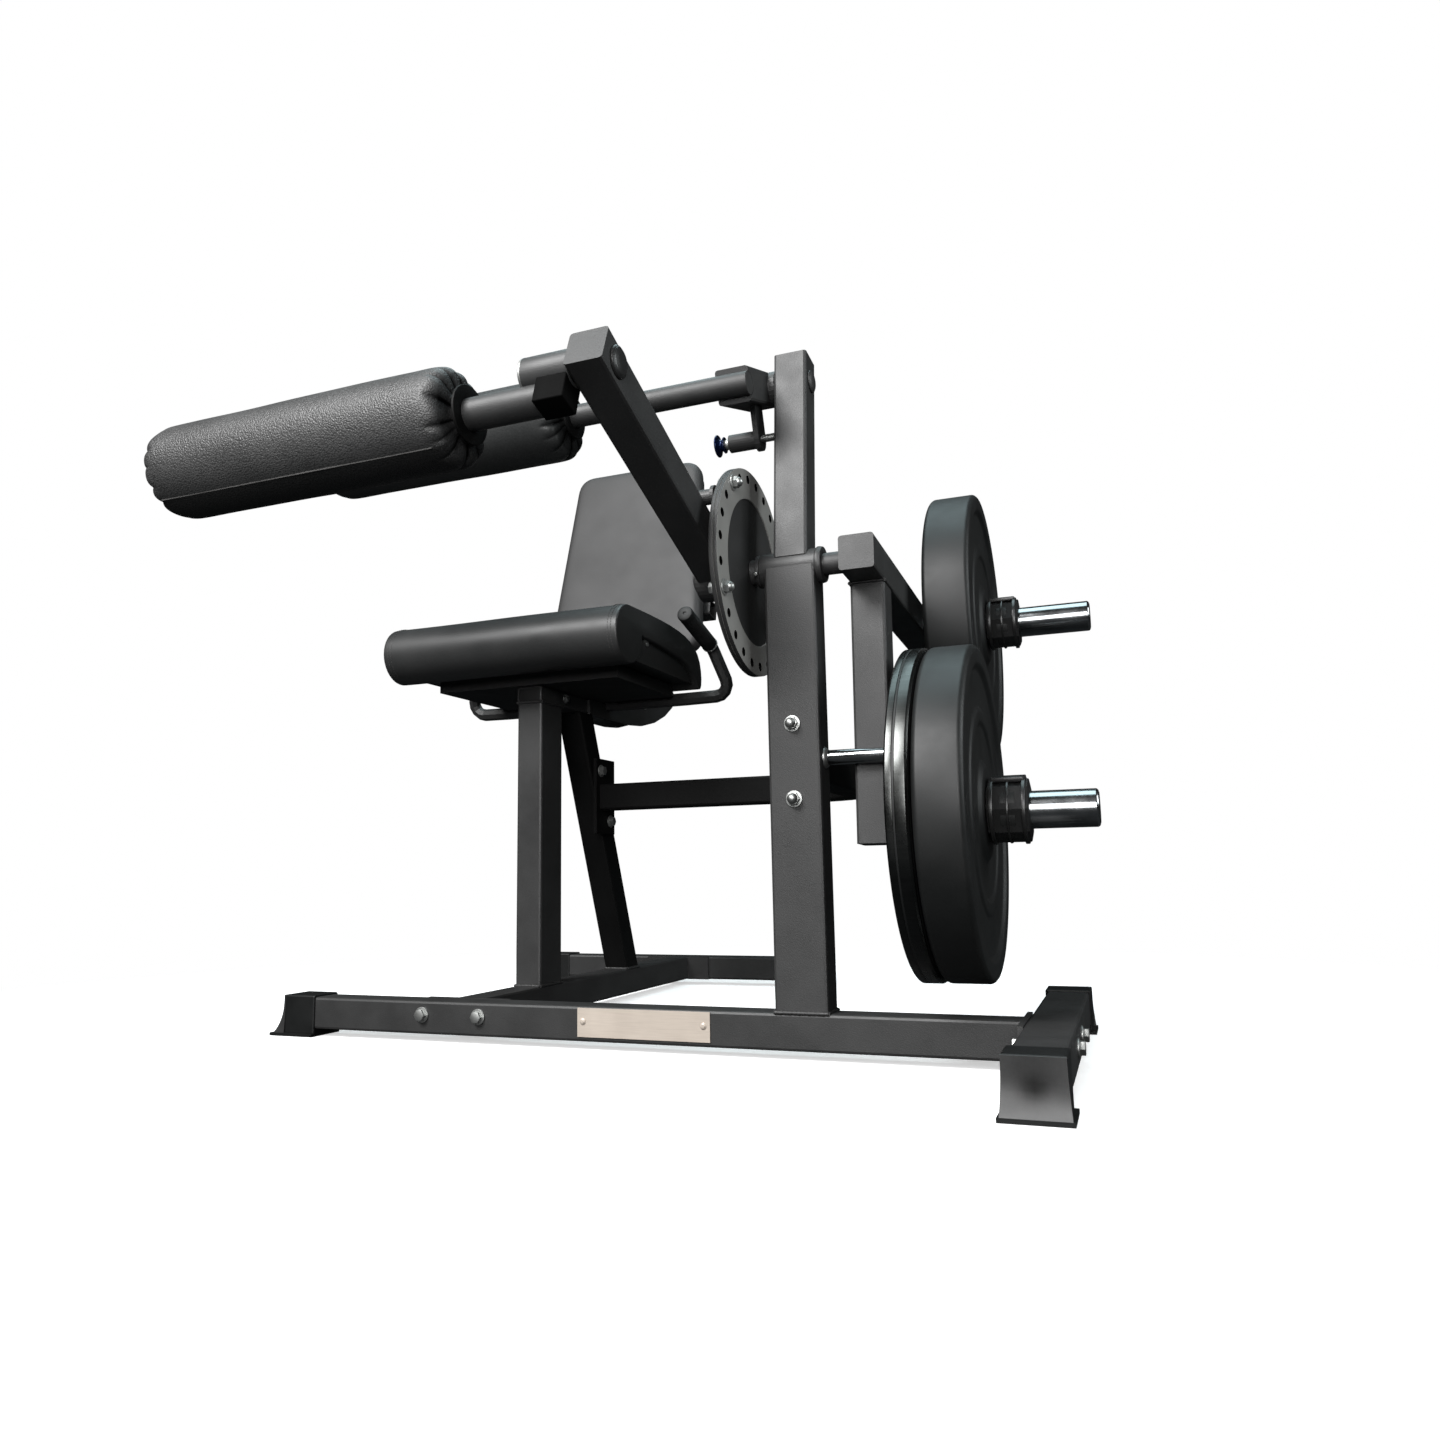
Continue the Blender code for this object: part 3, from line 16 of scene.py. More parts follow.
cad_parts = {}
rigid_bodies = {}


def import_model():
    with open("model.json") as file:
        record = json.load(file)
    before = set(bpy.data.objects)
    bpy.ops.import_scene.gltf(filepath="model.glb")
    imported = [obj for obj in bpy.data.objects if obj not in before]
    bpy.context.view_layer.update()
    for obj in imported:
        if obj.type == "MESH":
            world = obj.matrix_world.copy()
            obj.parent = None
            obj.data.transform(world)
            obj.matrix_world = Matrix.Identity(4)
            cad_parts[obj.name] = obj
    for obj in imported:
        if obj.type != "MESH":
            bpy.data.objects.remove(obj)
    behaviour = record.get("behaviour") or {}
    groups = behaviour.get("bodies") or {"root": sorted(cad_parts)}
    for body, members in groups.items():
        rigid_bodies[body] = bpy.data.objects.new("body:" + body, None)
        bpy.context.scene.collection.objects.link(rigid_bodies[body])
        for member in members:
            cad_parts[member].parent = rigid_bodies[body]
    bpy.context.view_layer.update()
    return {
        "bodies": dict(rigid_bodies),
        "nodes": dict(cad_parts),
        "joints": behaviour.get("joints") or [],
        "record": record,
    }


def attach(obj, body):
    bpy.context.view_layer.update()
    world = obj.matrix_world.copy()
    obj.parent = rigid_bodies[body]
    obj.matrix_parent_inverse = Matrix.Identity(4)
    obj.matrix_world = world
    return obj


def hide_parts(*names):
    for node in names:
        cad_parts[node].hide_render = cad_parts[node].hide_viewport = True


LOG = logging.getLogger("leg_machine")

# Layout point that the frame's origin lies on
ORIGIN_X = -223.0
ORIGIN_Y = 256.6
# Metres in a millimetre
MM = 0.001

RIGHT = Vector((1.0, 0.0, 0.0))
BACK = Vector((0.0, 1.0, 0.0))
UP = Vector((0.0, 0.0, 1.0))

# Middle of the seat and its posts, and of the two uprights, across the machine
SEAT_X = -524.0
UPRIGHT_X = 37.5

# Material slot of the powder-coated steel
COATED = "black_powder_coat"

Profile = list[tuple[float, float]]
Spot = tuple[float, float]


def at(x: float, y: float, z: float) -> Vector:
    """Return a layout point in world metres."""
    return Vector(((x - ORIGIN_X) * MM, (y - ORIGIN_Y) * MM, z * MM))


def linear(hex_colour: str) -> tuple[float, float, float, float]:
    """Turn an sRGB hex colour to linear RGBA.

    Args:
        hex_colour: A hash sign and six hex digits.

    Returns:
        Red, green, blue and an alpha of 1.
    """
    values = []
    for start in (1, 3, 5):
        part = int(hex_colour[start:start + 2], 16) / 255.0
        values.append(part / 12.92 if part <= 0.04045 else ((part + 0.055) / 1.055) ** 2.4)
    return values[0], values[1], values[2], 1.0


def add(tree: bpy.types.NodeTree, kind: str, inputs: dict | None = None,
        **settings: object) -> bpy.types.Node:
    """Add a shader node with its settings and links.

    Args:
        tree: The node tree that gets the node.
        kind: The node's type name.
        inputs: Socket names or numbers with a value, or with the output that feeds them.
        settings: Properties of the node.

    Returns:
        The new node.
    """
    node = tree.nodes.new(kind)
    for key, value in settings.items():
        setattr(node, key, value)
    for key, value in (inputs or {}).items():
        if isinstance(value, bpy.types.NodeSocket):
            tree.links.new(value, node.inputs[key])
        else:
            node.inputs[key].default_value = value
    return node


class Grain(Enum):
    """How a finish's surface was made."""

    POWDER = "powder"
    PEBBLE = "pebble"
    BRUSHED = "brushed"
    SMOOTH = "smooth"
    CRUMB = "crumb"


@dataclass(frozen=True)
class Finish:
    """A finish: its colours, gloss and the pattern of its surface, with sizes in millimetres; some finishes
    are copies that carry painted shade or light.
    """

    name: str
    colour: str
    shade: str
    roughness: float
    grain: Grain
    grain_mm: float
    relief_mm: float
    strength: float
    metallic: float = 0.0
    blotch_mm: float = 60.0
    specular: float = 0.5

    def material(self) -> bpy.types.Material:
        """Build the finish's material on first use.

        Returns:
            The material, the same one each time.
        """
        found = bpy.data.materials.get(self.name)
        if found is not None:
            return found
        material = bpy.data.materials.new(self.name)
        material.use_nodes = True
        tree = material.node_tree
        tree.nodes.clear()
        place = add(tree, "ShaderNodeTexCoord").outputs["Object"]
        height = self._pattern(tree, place)
        blotch = add(tree, "ShaderNodeTexNoise", {
            "Vector": place, "Scale": 1.0 / (self.blotch_mm * MM), "Detail": 4.0, "Roughness": 0.55})
        # Painted shade: a mesh attribute from 0 to 1 that sinks the colour to black and takes the specular
        # sheen away
        crease_and_painted_shade = add(tree, "ShaderNodeAttribute", attribute_name="crease_and_painted_shade").outputs["Fac"]
        sheen = add(tree, "ShaderNodeMapRange", {"Value": crease_and_painted_shade, "To Min": self.specular, "To Max": 0.0})
        gloss = add(tree, "ShaderNodeMapRange", {
            "Value": blotch.outputs["Fac"], "From Min": 0.3, "From Max": 0.7,
            "To Min": max(0.03, self.roughness - 0.06), "To Max": self.roughness + 0.06})
        bump = add(tree, "ShaderNodeBump", {
            "Strength": self.strength, "Distance": self.relief_mm * MM, "Height": height})
        colour = self._colour(tree, blotch.outputs["Fac"], height, crease_and_painted_shade)
        shader = add(tree, "ShaderNodeBsdfPrincipled", {
            "Metallic": self.metallic, "Base Color": colour, "Specular IOR Level": sheen.outputs["Result"],
            "Roughness": gloss.outputs["Result"], "Normal": bump.outputs["Normal"]})
        add(tree, "ShaderNodeOutputMaterial", {"Surface": shader.outputs["BSDF"]})
        return material

    def _colour(self, tree: bpy.types.NodeTree, blotch: bpy.types.NodeSocket, height: bpy.types.NodeSocket,
                crease_and_painted_shade: bpy.types.NodeSocket) -> bpy.types.NodeSocket:
        """Mix the finish's two colours, and sink them to black where the mesh's attribute paints shade.

        Args:
            tree: The material's nodes.
            blotch: Slow variation over the surface.
            height: Height of the fine pattern.
            crease_and_painted_shade: How dark the painted shade is, from 0 to 1; in the gathers it follows
                how deep the fold lies.

        Returns:
            The colour output.
        """
        mixed = add(tree, "ShaderNodeMath", {0: blotch, 1: height}, operation="ADD")
        spread = add(tree, "ShaderNodeMapRange", {
            "Value": mixed.outputs[0], "From Min": 0.55, "From Max": 1.45})
        tint = add(tree, "ShaderNodeMix", {
            "Factor": spread.outputs["Result"], "A": linear(self.shade), "B": linear(self.colour)},
            data_type="RGBA")
        deep = add(tree, "ShaderNodeMix", {
            "Factor": crease_and_painted_shade, "A": tint.outputs["Result"], "B": (0.001, 0.001, 0.001, 1.0)},
            data_type="RGBA")
        return deep.outputs["Result"]

    def _pattern(self, tree: bpy.types.NodeTree, place: bpy.types.NodeSocket) -> bpy.types.NodeSocket:
        """Return the height output of the surface pattern.

        Args:
            tree: The material's nodes.
            place: The object coordinates.

        Returns:
            A value output from 0 to 1.
        """
        scale = 1.0 / (self.grain_mm * MM)
        if self.grain is Grain.PEBBLE:
            cells = add(tree, "ShaderNodeTexVoronoi", {"Vector": place, "Scale": scale, "Randomness": 0.9},
                        feature="SMOOTH_F1")
            return add(tree, "ShaderNodeMapRange", {
                "Value": cells.outputs["Distance"], "From Min": 0.1, "From Max": 0.75,
                "To Min": 1.0, "To Max": 0.0}).outputs["Result"]
        if self.grain is Grain.BRUSHED:
            drawn = add(tree, "ShaderNodeMapping", {"Vector": place, "Scale": (0.02, 1.0, 1.0)})
            return add(tree, "ShaderNodeTexNoise", {
                "Vector": drawn.outputs["Vector"], "Scale": scale, "Detail": 3.0}).outputs["Fac"]
        detail = {Grain.POWDER: 2.0, Grain.SMOOTH: 5.0, Grain.CRUMB: 6.0}[self.grain]
        return add(tree, "ShaderNodeTexNoise", {
            "Vector": place, "Scale": scale, "Detail": detail, "Roughness": 0.6}).outputs["Fac"]


# Grit, leather print and moulding texture are drawn 1 to 4 mm wide, as real ones are too fine to show

# Fine-texture black powder coat on steel: grit that shows as a soft sparkle on lit faces
POWDER = Finish("black_powder_coat_on_steel", "#303030", "#252525", roughness=0.5, grain=Grain.POWDER,
                grain_mm=1.5, relief_mm=0.34, strength=0.75)
# A darker, flatter copy of the coat: painted shade on the tubes behind the seat and on the roller washers
POWDER_PAINTED_SHADE = Finish("powder_coat_painted_shade", "#101010", "#0b0b0b", roughness=0.6, grain=Grain.POWDER,
                     grain_mm=1.5, relief_mm=0.34, strength=0.75, specular=0.12)
# The same coat worn lighter on the disc's machined ring
RING_COAT = Finish("satin_coat_on_disc_ring", "#9b9a97", "#858481", roughness=0.42, metallic=0.1,
                   grain=Grain.POWDER, grain_mm=1.6, relief_mm=0.2, strength=0.4)
# Bright chrome plate with faint polishing streaks
CHROME = Finish("polished_chrome_plate", "#a9abac", "#85888a", roughness=0.19, metallic=1.0,
                grain=Grain.BRUSHED, grain_mm=2.5, relief_mm=0.03, strength=0.2)
# Chromed plate edge, brushed round by handling
EDGE_CHROME = Finish("handled_chrome_edge", "#525352", "#3b3c3b", roughness=0.27, metallic=1.0,
                     grain=Grain.BRUSHED, grain_mm=1.6, relief_mm=0.05, strength=0.3)
# Zinc-plated fasteners, a little duller and uneven
ZINC = Finish("zinc_plated_steel", "#c4c5c3", "#9a9c9a", roughness=0.44, metallic=1.0, grain=Grain.SMOOTH,
              grain_mm=3.0, relief_mm=0.05, strength=0.3)
# Brushed steel sheet of the blank plate, with a warm grey sheen
BRUSHED = Finish("brushed_steel_sheet", "#c6bbaf", "#b0a59a", roughness=0.42, metallic=0.2,
                 grain=Grain.BRUSHED, grain_mm=0.7, relief_mm=0.05, strength=0.35)
# Smooth black upholstery vinyl with a very fine leather print
SEAT_VINYL = Finish("smooth_black_vinyl", "#2d2d2d", "#232424", roughness=0.43, grain=Grain.PEBBLE,
                    grain_mm=1.3, relief_mm=0.1, strength=0.25, blotch_mm=90.0)
# Matt vinyl of the backrest, which takes the front light evenly
BACK_VINYL = Finish("matt_charcoal_vinyl", "#302f2f", "#2b2a2a", roughness=0.6, grain=Grain.PEBBLE,
                    grain_mm=1.3, relief_mm=0.06, strength=0.2, blotch_mm=160.0)
# Pebble-grained roller cover, a soft sheen on top of each pebble
ROLLER_VINYL = Finish("pebbled_roller_vinyl", "#434343", "#2a2a2a", roughness=0.47, grain=Grain.PEBBLE,
                      grain_mm=1.9, relief_mm=0.62, strength=0.95, blotch_mm=110.0)
# Plainer vinyl of the far roller
FAR_VINYL = Finish("fine_roller_vinyl", "#303131", "#252626", roughness=0.48, grain=Grain.PEBBLE,
                   grain_mm=1.8, relief_mm=0.25, strength=0.5, blotch_mm=70.0)
# Light thread of stitches and piping
THREAD = Finish("grey_polyester_thread", "#4f4e4d", "#3c3b3a", roughness=0.6, grain=Grain.CRUMB,
                grain_mm=0.6, relief_mm=0.1, strength=0.4)
# Moulded bumper rubber with fine crumb
RUBBER = Finish("moulded_bumper_rubber", "#161717", "#101111", roughness=0.5, grain=Grain.CRUMB,
                grain_mm=2.2, relief_mm=0.18, strength=0.35, specular=0.36)
# Injection-moulded nylon of clamps
PLASTIC = Finish("moulded_black_plastic", "#262626", "#1c1c1c", roughness=0.32, grain=Grain.SMOOTH,
                 grain_mm=1.5, relief_mm=0.08, strength=0.3)
# Softer polyethylene of the foot boots
BOOT = Finish("soft_black_boot_plastic", "#131414", "#0e0f0f", roughness=0.48, grain=Grain.SMOOTH,
              grain_mm=4.0, relief_mm=0.1, strength=0.3, blotch_mm=45.0, specular=0.32)
# Satin, lighter copy of the boot plastic on a boot's dished end face: painted light on its rim, around
# painted shade at its middle
BOOT_FACE_LIT = Finish("satin_boot_face_painted_light", "#2f2f2f", "#252525", roughness=0.42, grain=Grain.SMOOTH,
                   grain_mm=4.0, relief_mm=0.1, strength=0.3, blotch_mm=45.0)
# Near-black copy of the coat: painted shade on the link's web, which faces down, and in the disc's holes
SHADE_BLACK = Finish("painted_shade_black", "#070707", "#040404", roughness=0.7, grain=Grain.POWDER,
                    grain_mm=1.5, relief_mm=0.3, strength=0.6, specular=0.05)
# Ribbed rubber of the hand grips
GRIP = Finish("ribbed_grip_rubber", "#191a1a", "#121313", roughness=0.55, grain=Grain.CRUMB, grain_mm=1.2,
              relief_mm=0.15, strength=0.4)
# Dark blue anodised pull knob
ANODISED = Finish("dark_blue_anodised_aluminium", "#15264f", "#0d1a3a", roughness=0.3, metallic=0.7,
                  grain=Grain.SMOOTH, grain_mm=1.0, relief_mm=0.03, strength=0.2)
# Board under the upholstery
PLYWOOD = Finish("black_backed_plywood", "#1d1d1d", "#151515", roughness=0.75, grain=Grain.CRUMB,
                 grain_mm=4.0, relief_mm=0.2, strength=0.4)
# Ground races of the bearings
BEARING = Finish("bearing_steel_ground", "#6f7172", "#595b5c", roughness=0.3, metallic=1.0,
                 grain=Grain.BRUSHED, grain_mm=1.2, relief_mm=0.03, strength=0.2)


@dataclass(frozen=True)
class Lamp:
    """A square soft light: its place and target in the layout, side in metres, power in watts and tint."""

    name: str
    spot: tuple[float, float, float]
    target: tuple[float, float, float]
    side: float
    power: float
    colour: str = "#ffffff"


@dataclass
class Studio:
    """Camera, floor and lights.

    The camera's angles are radians and its lens is given in pixels of the square frame. The floor's sizes
    are metres.
    """

    eye: tuple[float, float, float] = (464.993, -1402.677, 250.679)
    yaw: float = 0.378143
    pitch: float = 0.144683
    roll: float = -0.016804
    frame_pixels: float = 1440.0
    focal_pixels: float = 1060.037
    centre_x_pixels: float = 705.789
    centre_y_pixels: float = 718.658
    sensor_mm: float = 36.0
    clip_end: float = 60.0
    floor_half: float = 20.0
    floor_drop: float = 0.0006
    fade_start: float = 0.9
    fade_end: float = 1.9
    floor_glow: float = 0.55
    surround: float = 0.022
    lamps: tuple[Lamp, ...] = (
        Lamp("key", (-1500.0, -3200.0, 3500.0), (-250.0, 100.0, 600.0), 1.9, 385.0),
        Lamp("front", (700.0, -3200.0, 1200.0), (-100.0, 100.0, 400.0), 1.6, 80.0),
        Lamp("top", (-300.0, 600.0, 3400.0), (-300.0, 300.0, 0.0), 2.0, 52.0, "#d6eff4"),
        Lamp("right", (3200.0, 400.0, 1700.0), (100.0, 200.0, 600.0), 1.6, 62.0, "#eef4f5"))

    def camera(self) -> None:
        """Place the camera at the photograph's viewing point."""
        level = math.cos(self.pitch)
        ahead = Vector((-math.sin(self.yaw) * level, math.cos(self.yaw) * level, math.sin(self.pitch)))
        right = Vector((math.cos(self.yaw), math.sin(self.yaw), 0.0))
        up = right.cross(ahead)
        turned_right = right * math.cos(self.roll) + up * math.sin(self.roll)
        turned_up = up * math.cos(self.roll) - right * math.sin(self.roll)
        data = bpy.data.cameras.new("photo_camera")
        data.sensor_width = self.sensor_mm
        data.lens = self.focal_pixels / self.frame_pixels * self.sensor_mm
        data.shift_x = (self.frame_pixels / 2 - self.centre_x_pixels) / self.frame_pixels
        data.shift_y = (self.centre_y_pixels - self.frame_pixels / 2) / self.frame_pixels
        data.clip_end = self.clip_end
        camera = bpy.data.objects.new("photo_camera", data)
        bpy.context.scene.collection.objects.link(camera)
        turn = Matrix((turned_right, turned_up, -ahead)).transposed().to_4x4()
        camera.matrix_world = Matrix.Translation(at(*self.eye)) @ turn
        bpy.context.scene.camera = camera

    def floor_paint(self) -> bpy.types.Material:
        """Build a pale paint that takes a soft shadow and runs out to white.

        Rays other than the camera's meet it nearly black, so that it throws no light up at the machine.

        Returns:
            The floor's material.
        """
        material = bpy.data.materials.new("pale_floor_paint")
        material.use_nodes = True
        tree = material.node_tree
        tree.nodes.clear()
        matt = add(tree, "ShaderNodeBsdfDiffuse", {"Color": (0.9, 0.9, 0.9, 1.0)})
        glow = add(tree, "ShaderNodeEmission", {"Color": (1.0, 1.0, 1.0, 1.0), "Strength": self.floor_glow})
        near = add(tree, "ShaderNodeAddShader", {0: matt.outputs[0], 1: glow.outputs[0]})
        white = add(tree, "ShaderNodeEmission", {"Color": (1.0, 1.0, 1.0, 1.0), "Strength": 1.0})
        place = add(tree, "ShaderNodeTexCoord").outputs["Object"]
        reach = add(tree, "ShaderNodeVectorMath", {0: place}, operation="LENGTH")
        fade = add(tree, "ShaderNodeMapRange", {
            "Value": reach.outputs["Value"], "From Min": self.fade_start, "From Max": self.fade_end},
            interpolation_type="SMOOTHSTEP")
        view = add(tree, "ShaderNodeMixShader", {
            0: fade.outputs["Result"], 1: near.outputs[0], 2: white.outputs[0]})
        dim = add(tree, "ShaderNodeBsdfDiffuse", {"Color": (0.03, 0.031, 0.032, 1.0)})
        path = add(tree, "ShaderNodeLightPath")
        mix = add(tree, "ShaderNodeMixShader", {
            0: path.outputs["Is Camera Ray"], 1: dim.outputs[0], 2: view.outputs[0]})
        add(tree, "ShaderNodeOutputMaterial", {"Surface": mix.outputs[0]})
        return material

    def floor(self) -> None:
        """Lay a pale floor that runs into the background."""
        bm = bmesh.new()
        bmesh.ops.create_grid(bm, x_segments=1, y_segments=1, size=self.floor_half)
        mesh = bpy.data.meshes.new("studio_floor")
        bm.to_mesh(mesh)
        bm.free()
        mesh.materials.append(self.floor_paint())
        floor = bpy.data.objects.new("studio_floor", mesh)
        floor.location = (0.0, 0.0, -self.floor_drop)
        bpy.context.scene.collection.objects.link(floor)

    def lights(self) -> None:
        """Light the machine from the front and above, with a cool top and right side."""
        for lamp in self.lamps:
            data = bpy.data.lights.new(lamp.name + "_light", "AREA")
            data.shape = "SQUARE"
            data.size = lamp.side
            data.energy = lamp.power
            data.color = linear(lamp.colour)[:3]
            light = bpy.data.objects.new(lamp.name + "_light", data)
            bpy.context.scene.collection.objects.link(light)
            light.location = at(*lamp.spot)
            light.rotation_euler = (at(*lamp.target) - at(*lamp.spot)).to_track_quat("-Z", "Y").to_euler()

    def world(self) -> None:
        """Give a white backdrop and a soft even surround."""
        world = bpy.data.worlds.new("studio_world")
        bpy.context.scene.world = world
        world.use_nodes = True
        tree = world.node_tree
        tree.nodes.clear()
        path = add(tree, "ShaderNodeLightPath")
        power = add(tree, "ShaderNodeMapRange", {
            "Value": path.outputs["Is Camera Ray"], "To Min": self.surround, "To Max": 1.0})
        back = add(tree, "ShaderNodeBackground", {
            "Color": (1.0, 1.0, 1.0, 1.0), "Strength": power.outputs["Result"]})
        add(tree, "ShaderNodeOutputWorld", {"Surface": back.outputs[0]})

    def build(self) -> None:
        """Set up the whole studio."""
        bpy.context.scene.view_settings.view_transform = "Standard"
        self.camera()
        self.floor()
        self.lights()
        self.world()


def finish_piece(name: str, bm: bmesh.types.BMesh, look: Finish, body: str,
                 stands_for: tuple[str, ...] = (), sharp: float = 35.0) -> bpy.types.Object:
    """Turn a bmesh to a finished piece that rides on a body.

    Args:
        name: The piece's name.
        bm: Its shape in world metres; it is freed here.
        look: Its finish.
        body: The body that it moves with.
        stands_for: CAD nodes that it replaces.
        sharp: Angle in degrees above which an edge stays sharp.

    Returns:
        The piece's object.
    """
    bm.normal_update()
    bmesh.ops.recalc_face_normals(bm, faces=bm.faces[:])
    for face in bm.faces:
        face.smooth = True
    mesh = bpy.data.meshes.new(name)
    bm.to_mesh(mesh)
    bm.free()
    mesh.set_sharp_from_angle(angle=math.radians(sharp))
    piece = bpy.data.objects.new(name, mesh)
    bpy.context.scene.collection.objects.link(piece)
    mesh.materials.append(look.material())
    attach(piece, body)
    if stands_for:
        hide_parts(*stands_for)
    LOG.info("%s: %d faces on %s", name, len(mesh.polygons), body)
    return piece


def aim(start: Vector, direction: Vector, across: Vector | None = None) -> Matrix:
    """Return the matrix that puts local Z along a direction and local X along across.

    Args:
        start: World point that the origin goes to.
        direction: Where local Z points.
        across: Where local X points, as nearly as Z allows; a level or upright one is chosen by default.

    Returns:
        The matrix.
    """
    z_axis = direction.normalized()
    if across is None:
        across = UP if abs(z_axis.z) < 0.9 else RIGHT
    x_axis = (across - z_axis * across.dot(z_axis)).normalized()
    y_axis = z_axis.cross(x_axis)
    return Matrix.Translation(start) @ Matrix((x_axis, y_axis, z_axis)).transposed().to_4x4()


def turned(base: Vector, direction: Vector, profile: Profile, steps: int = 64) -> bmesh.types.BMesh:
    """Spin a profile of (along, radius) millimetres round an axis.

    Args:
        base: World point that the profile's zero lies on.
        direction: The axis.
        profile: Points; it closes on itself where it does not start on the axis.
        steps: Faces round the axis.

    Returns:
        The closed shape.
    """
    bm = bmesh.new()
    verts = [bm.verts.new((radius * MM, 0.0, along * MM)) for along, radius in profile]
    pairs = list(zip(verts[:-1], verts[1:]))
    if profile[0][1] > 0.0:
        pairs.append((verts[-1], verts[0]))
    edges = [bm.edges.new(pair) for pair in pairs]
    bmesh.ops.spin(bm, geom=verts + edges, cent=(0.0, 0.0, 0.0), axis=(0.0, 0.0, 1.0),
                   dvec=(0.0, 0.0, 0.0), angle=math.tau, steps=steps, use_merge=True)
    bmesh.ops.remove_doubles(bm, verts=bm.verts[:], dist=0.00001)
    bm.transform(aim(base, direction))
    return bm


def turned_x(spot: Spot, profile: Profile, steps: int = 64) -> bmesh.types.BMesh:
    """Spin a profile of (x, radius) round a line along X at layout Y and Z."""
    return turned(at(0.0, *spot), RIGHT, profile, steps)


def eased(profile: Profile, radius: float = 0.8, steps: int = 3) -> Profile:
    """Round the corners of a profile that lie off the axis.

    Args:
        profile: Profile points.
        radius: Size of the rounding.
        steps: Steps of the curve at each corner.

    Returns:
        The new profile.
    """
    closed = profile[0][1] > 0.0
    points: Profile = []
    count = len(profile)
    for index, here in enumerate(profile):
        if not closed and index in (0, count - 1):
            points.append(here)
            continue
        corner = Vector(here)
        back = Vector(profile[index - 1]) - corner
        ahead = Vector(profile[(index + 1) % count]) - corner
        reach = min(radius, back.length * 0.45, ahead.length * 0.45)
        first = corner + back.normalized() * reach
        last = corner + ahead.normalized() * reach
        points += [bent(first, corner, last, step / steps) for step in range(steps + 1)]
    return points


def bent(first: Vector, corner: Vector, last: Vector, part: float) -> Spot:
    """Return the point at a part of the curve that leaves first for the corner and ends at last."""
    spot = first * (1 - part) ** 2 + corner * 2 * part * (1 - part) + last * part ** 2
    return spot.x, spot.y


def ring_profile(x0: float, x1: float, inner: float, outer: float) -> Profile:
    """Return the four corners of a ring's section, between two X and two radii."""
    return [(x0, inner), (x0, outer), (x1, outer), (x1, inner)]


def bar(start: Vector, end: Vector, radius: float, steps: int = 24, edge: float = 0.0) -> bmesh.types.BMesh:
    """Make a prism or round bar between two world points.

    Args:
        start: Middle of the first end.
        end: Middle of the last end.
        radius: Radius of its corners in millimetres.
        steps: Sides.
        edge: Width of the bevel round both ends in millimetres.

    Returns:
        The bar.
    """
    bm = bmesh.new()
    axis = end - start
    bmesh.ops.create_cone(bm, cap_ends=True, segments=steps, radius1=radius * MM, radius2=radius * MM,
                          depth=axis.length)
    bmesh.ops.translate(bm, vec=(0.0, 0.0, axis.length / 2), verts=bm.verts[:])
    if edge:
        rims = [item for item in bm.edges if abs(item.verts[0].co.z - item.verts[1].co.z) < 1e-6]
        bmesh.ops.bevel(bm, geom=rims, offset=edge * MM, segments=2, profile=0.5, affect="EDGES",
                        material=-1)
    bm.transform(aim(start, axis))
    return bm


def block(size: tuple[float, float, float], edge: float) -> bmesh.types.BMesh:
    """Make a box round the origin.

    Args:
        size: Its sides in millimetres.
        edge: How far its edges are rounded, in millimetres.

    Returns:
        The box.
    """
    bm = bmesh.new()
    bmesh.ops.create_cube(bm, size=1.0)
    bmesh.ops.scale(bm, vec=tuple(side * MM for side in size), verts=bm.verts[:])
    bmesh.ops.bevel(bm, geom=bm.edges[:], offset=edge * MM, segments=3, profile=0.5, affect="EDGES",
                    material=-1)
    return bm


def merged(parts: list[bmesh.types.BMesh]) -> bmesh.types.BMesh:
    """Join shapes into one bmesh.

    Args:
        parts: The shapes; they are freed here.

    Returns:
        All of them in one, each with its faces outward.
    """
    whole = bmesh.new()
    for part in parts:
        part.normal_update()
        bmesh.ops.recalc_face_normals(part, faces=part.faces[:])
        mesh = bpy.data.meshes.new("part")
        part.to_mesh(mesh)
        part.free()
        whole.from_mesh(mesh)
        bpy.data.meshes.remove(mesh)
    return whole


def loft(rings: list[list[Vector]]) -> bmesh.types.BMesh:
    """Skin rings of equal count, one to the next, and close both ends.

    Args:
        rings: Rings of world points in the same order.

    Returns:
        The skinned shape.
    """
    bm = bmesh.new()
    rows = [[bm.verts.new(point) for point in ring] for ring in rings]
    count = len(rows[0])
    for lower, upper in zip(rows[:-1], rows[1:]):
        for index in range(count):
            after = (index + 1) % count
            bm.faces.new((lower[index], lower[after], upper[after], upper[index]))
    bm.faces.new(rows[0][::-1])
    bm.faces.new(rows[-1])
    return bm


def smooth_step(value: float) -> float:
    """Ease from 0 to 1 over the same range."""
    held = min(1.0, max(0.0, value))
    return held * held * (3.0 - 2.0 * held)


def shrunk(outline: Profile, amount: float) -> Profile:
    """Move every point of a closed outline inward along its two edges' mean normal.

    Args:
        outline: Points in either order round the shape.
        amount: How far they move.

    Returns:
        The smaller outline.
    """
    area = sum(a[0] * b[1] - b[0] * a[1] for a, b in zip(outline, outline[1:] + outline[:1]))
    side = 1.0 if area > 0 else -1.0
    points: Profile = []
    count = len(outline)
    for index, here in enumerate(outline):
        before = Vector(here) - Vector(outline[index - 1])
        after = Vector(outline[(index + 1) % count]) - Vector(here)
        normal = Vector((-before.y, before.x)).normalized() + Vector((-after.y, after.x)).normalized()
        normal = normal.normalized() * side
        points.append((here[0] + normal.x * amount, here[1] + normal.y * amount))
    return points


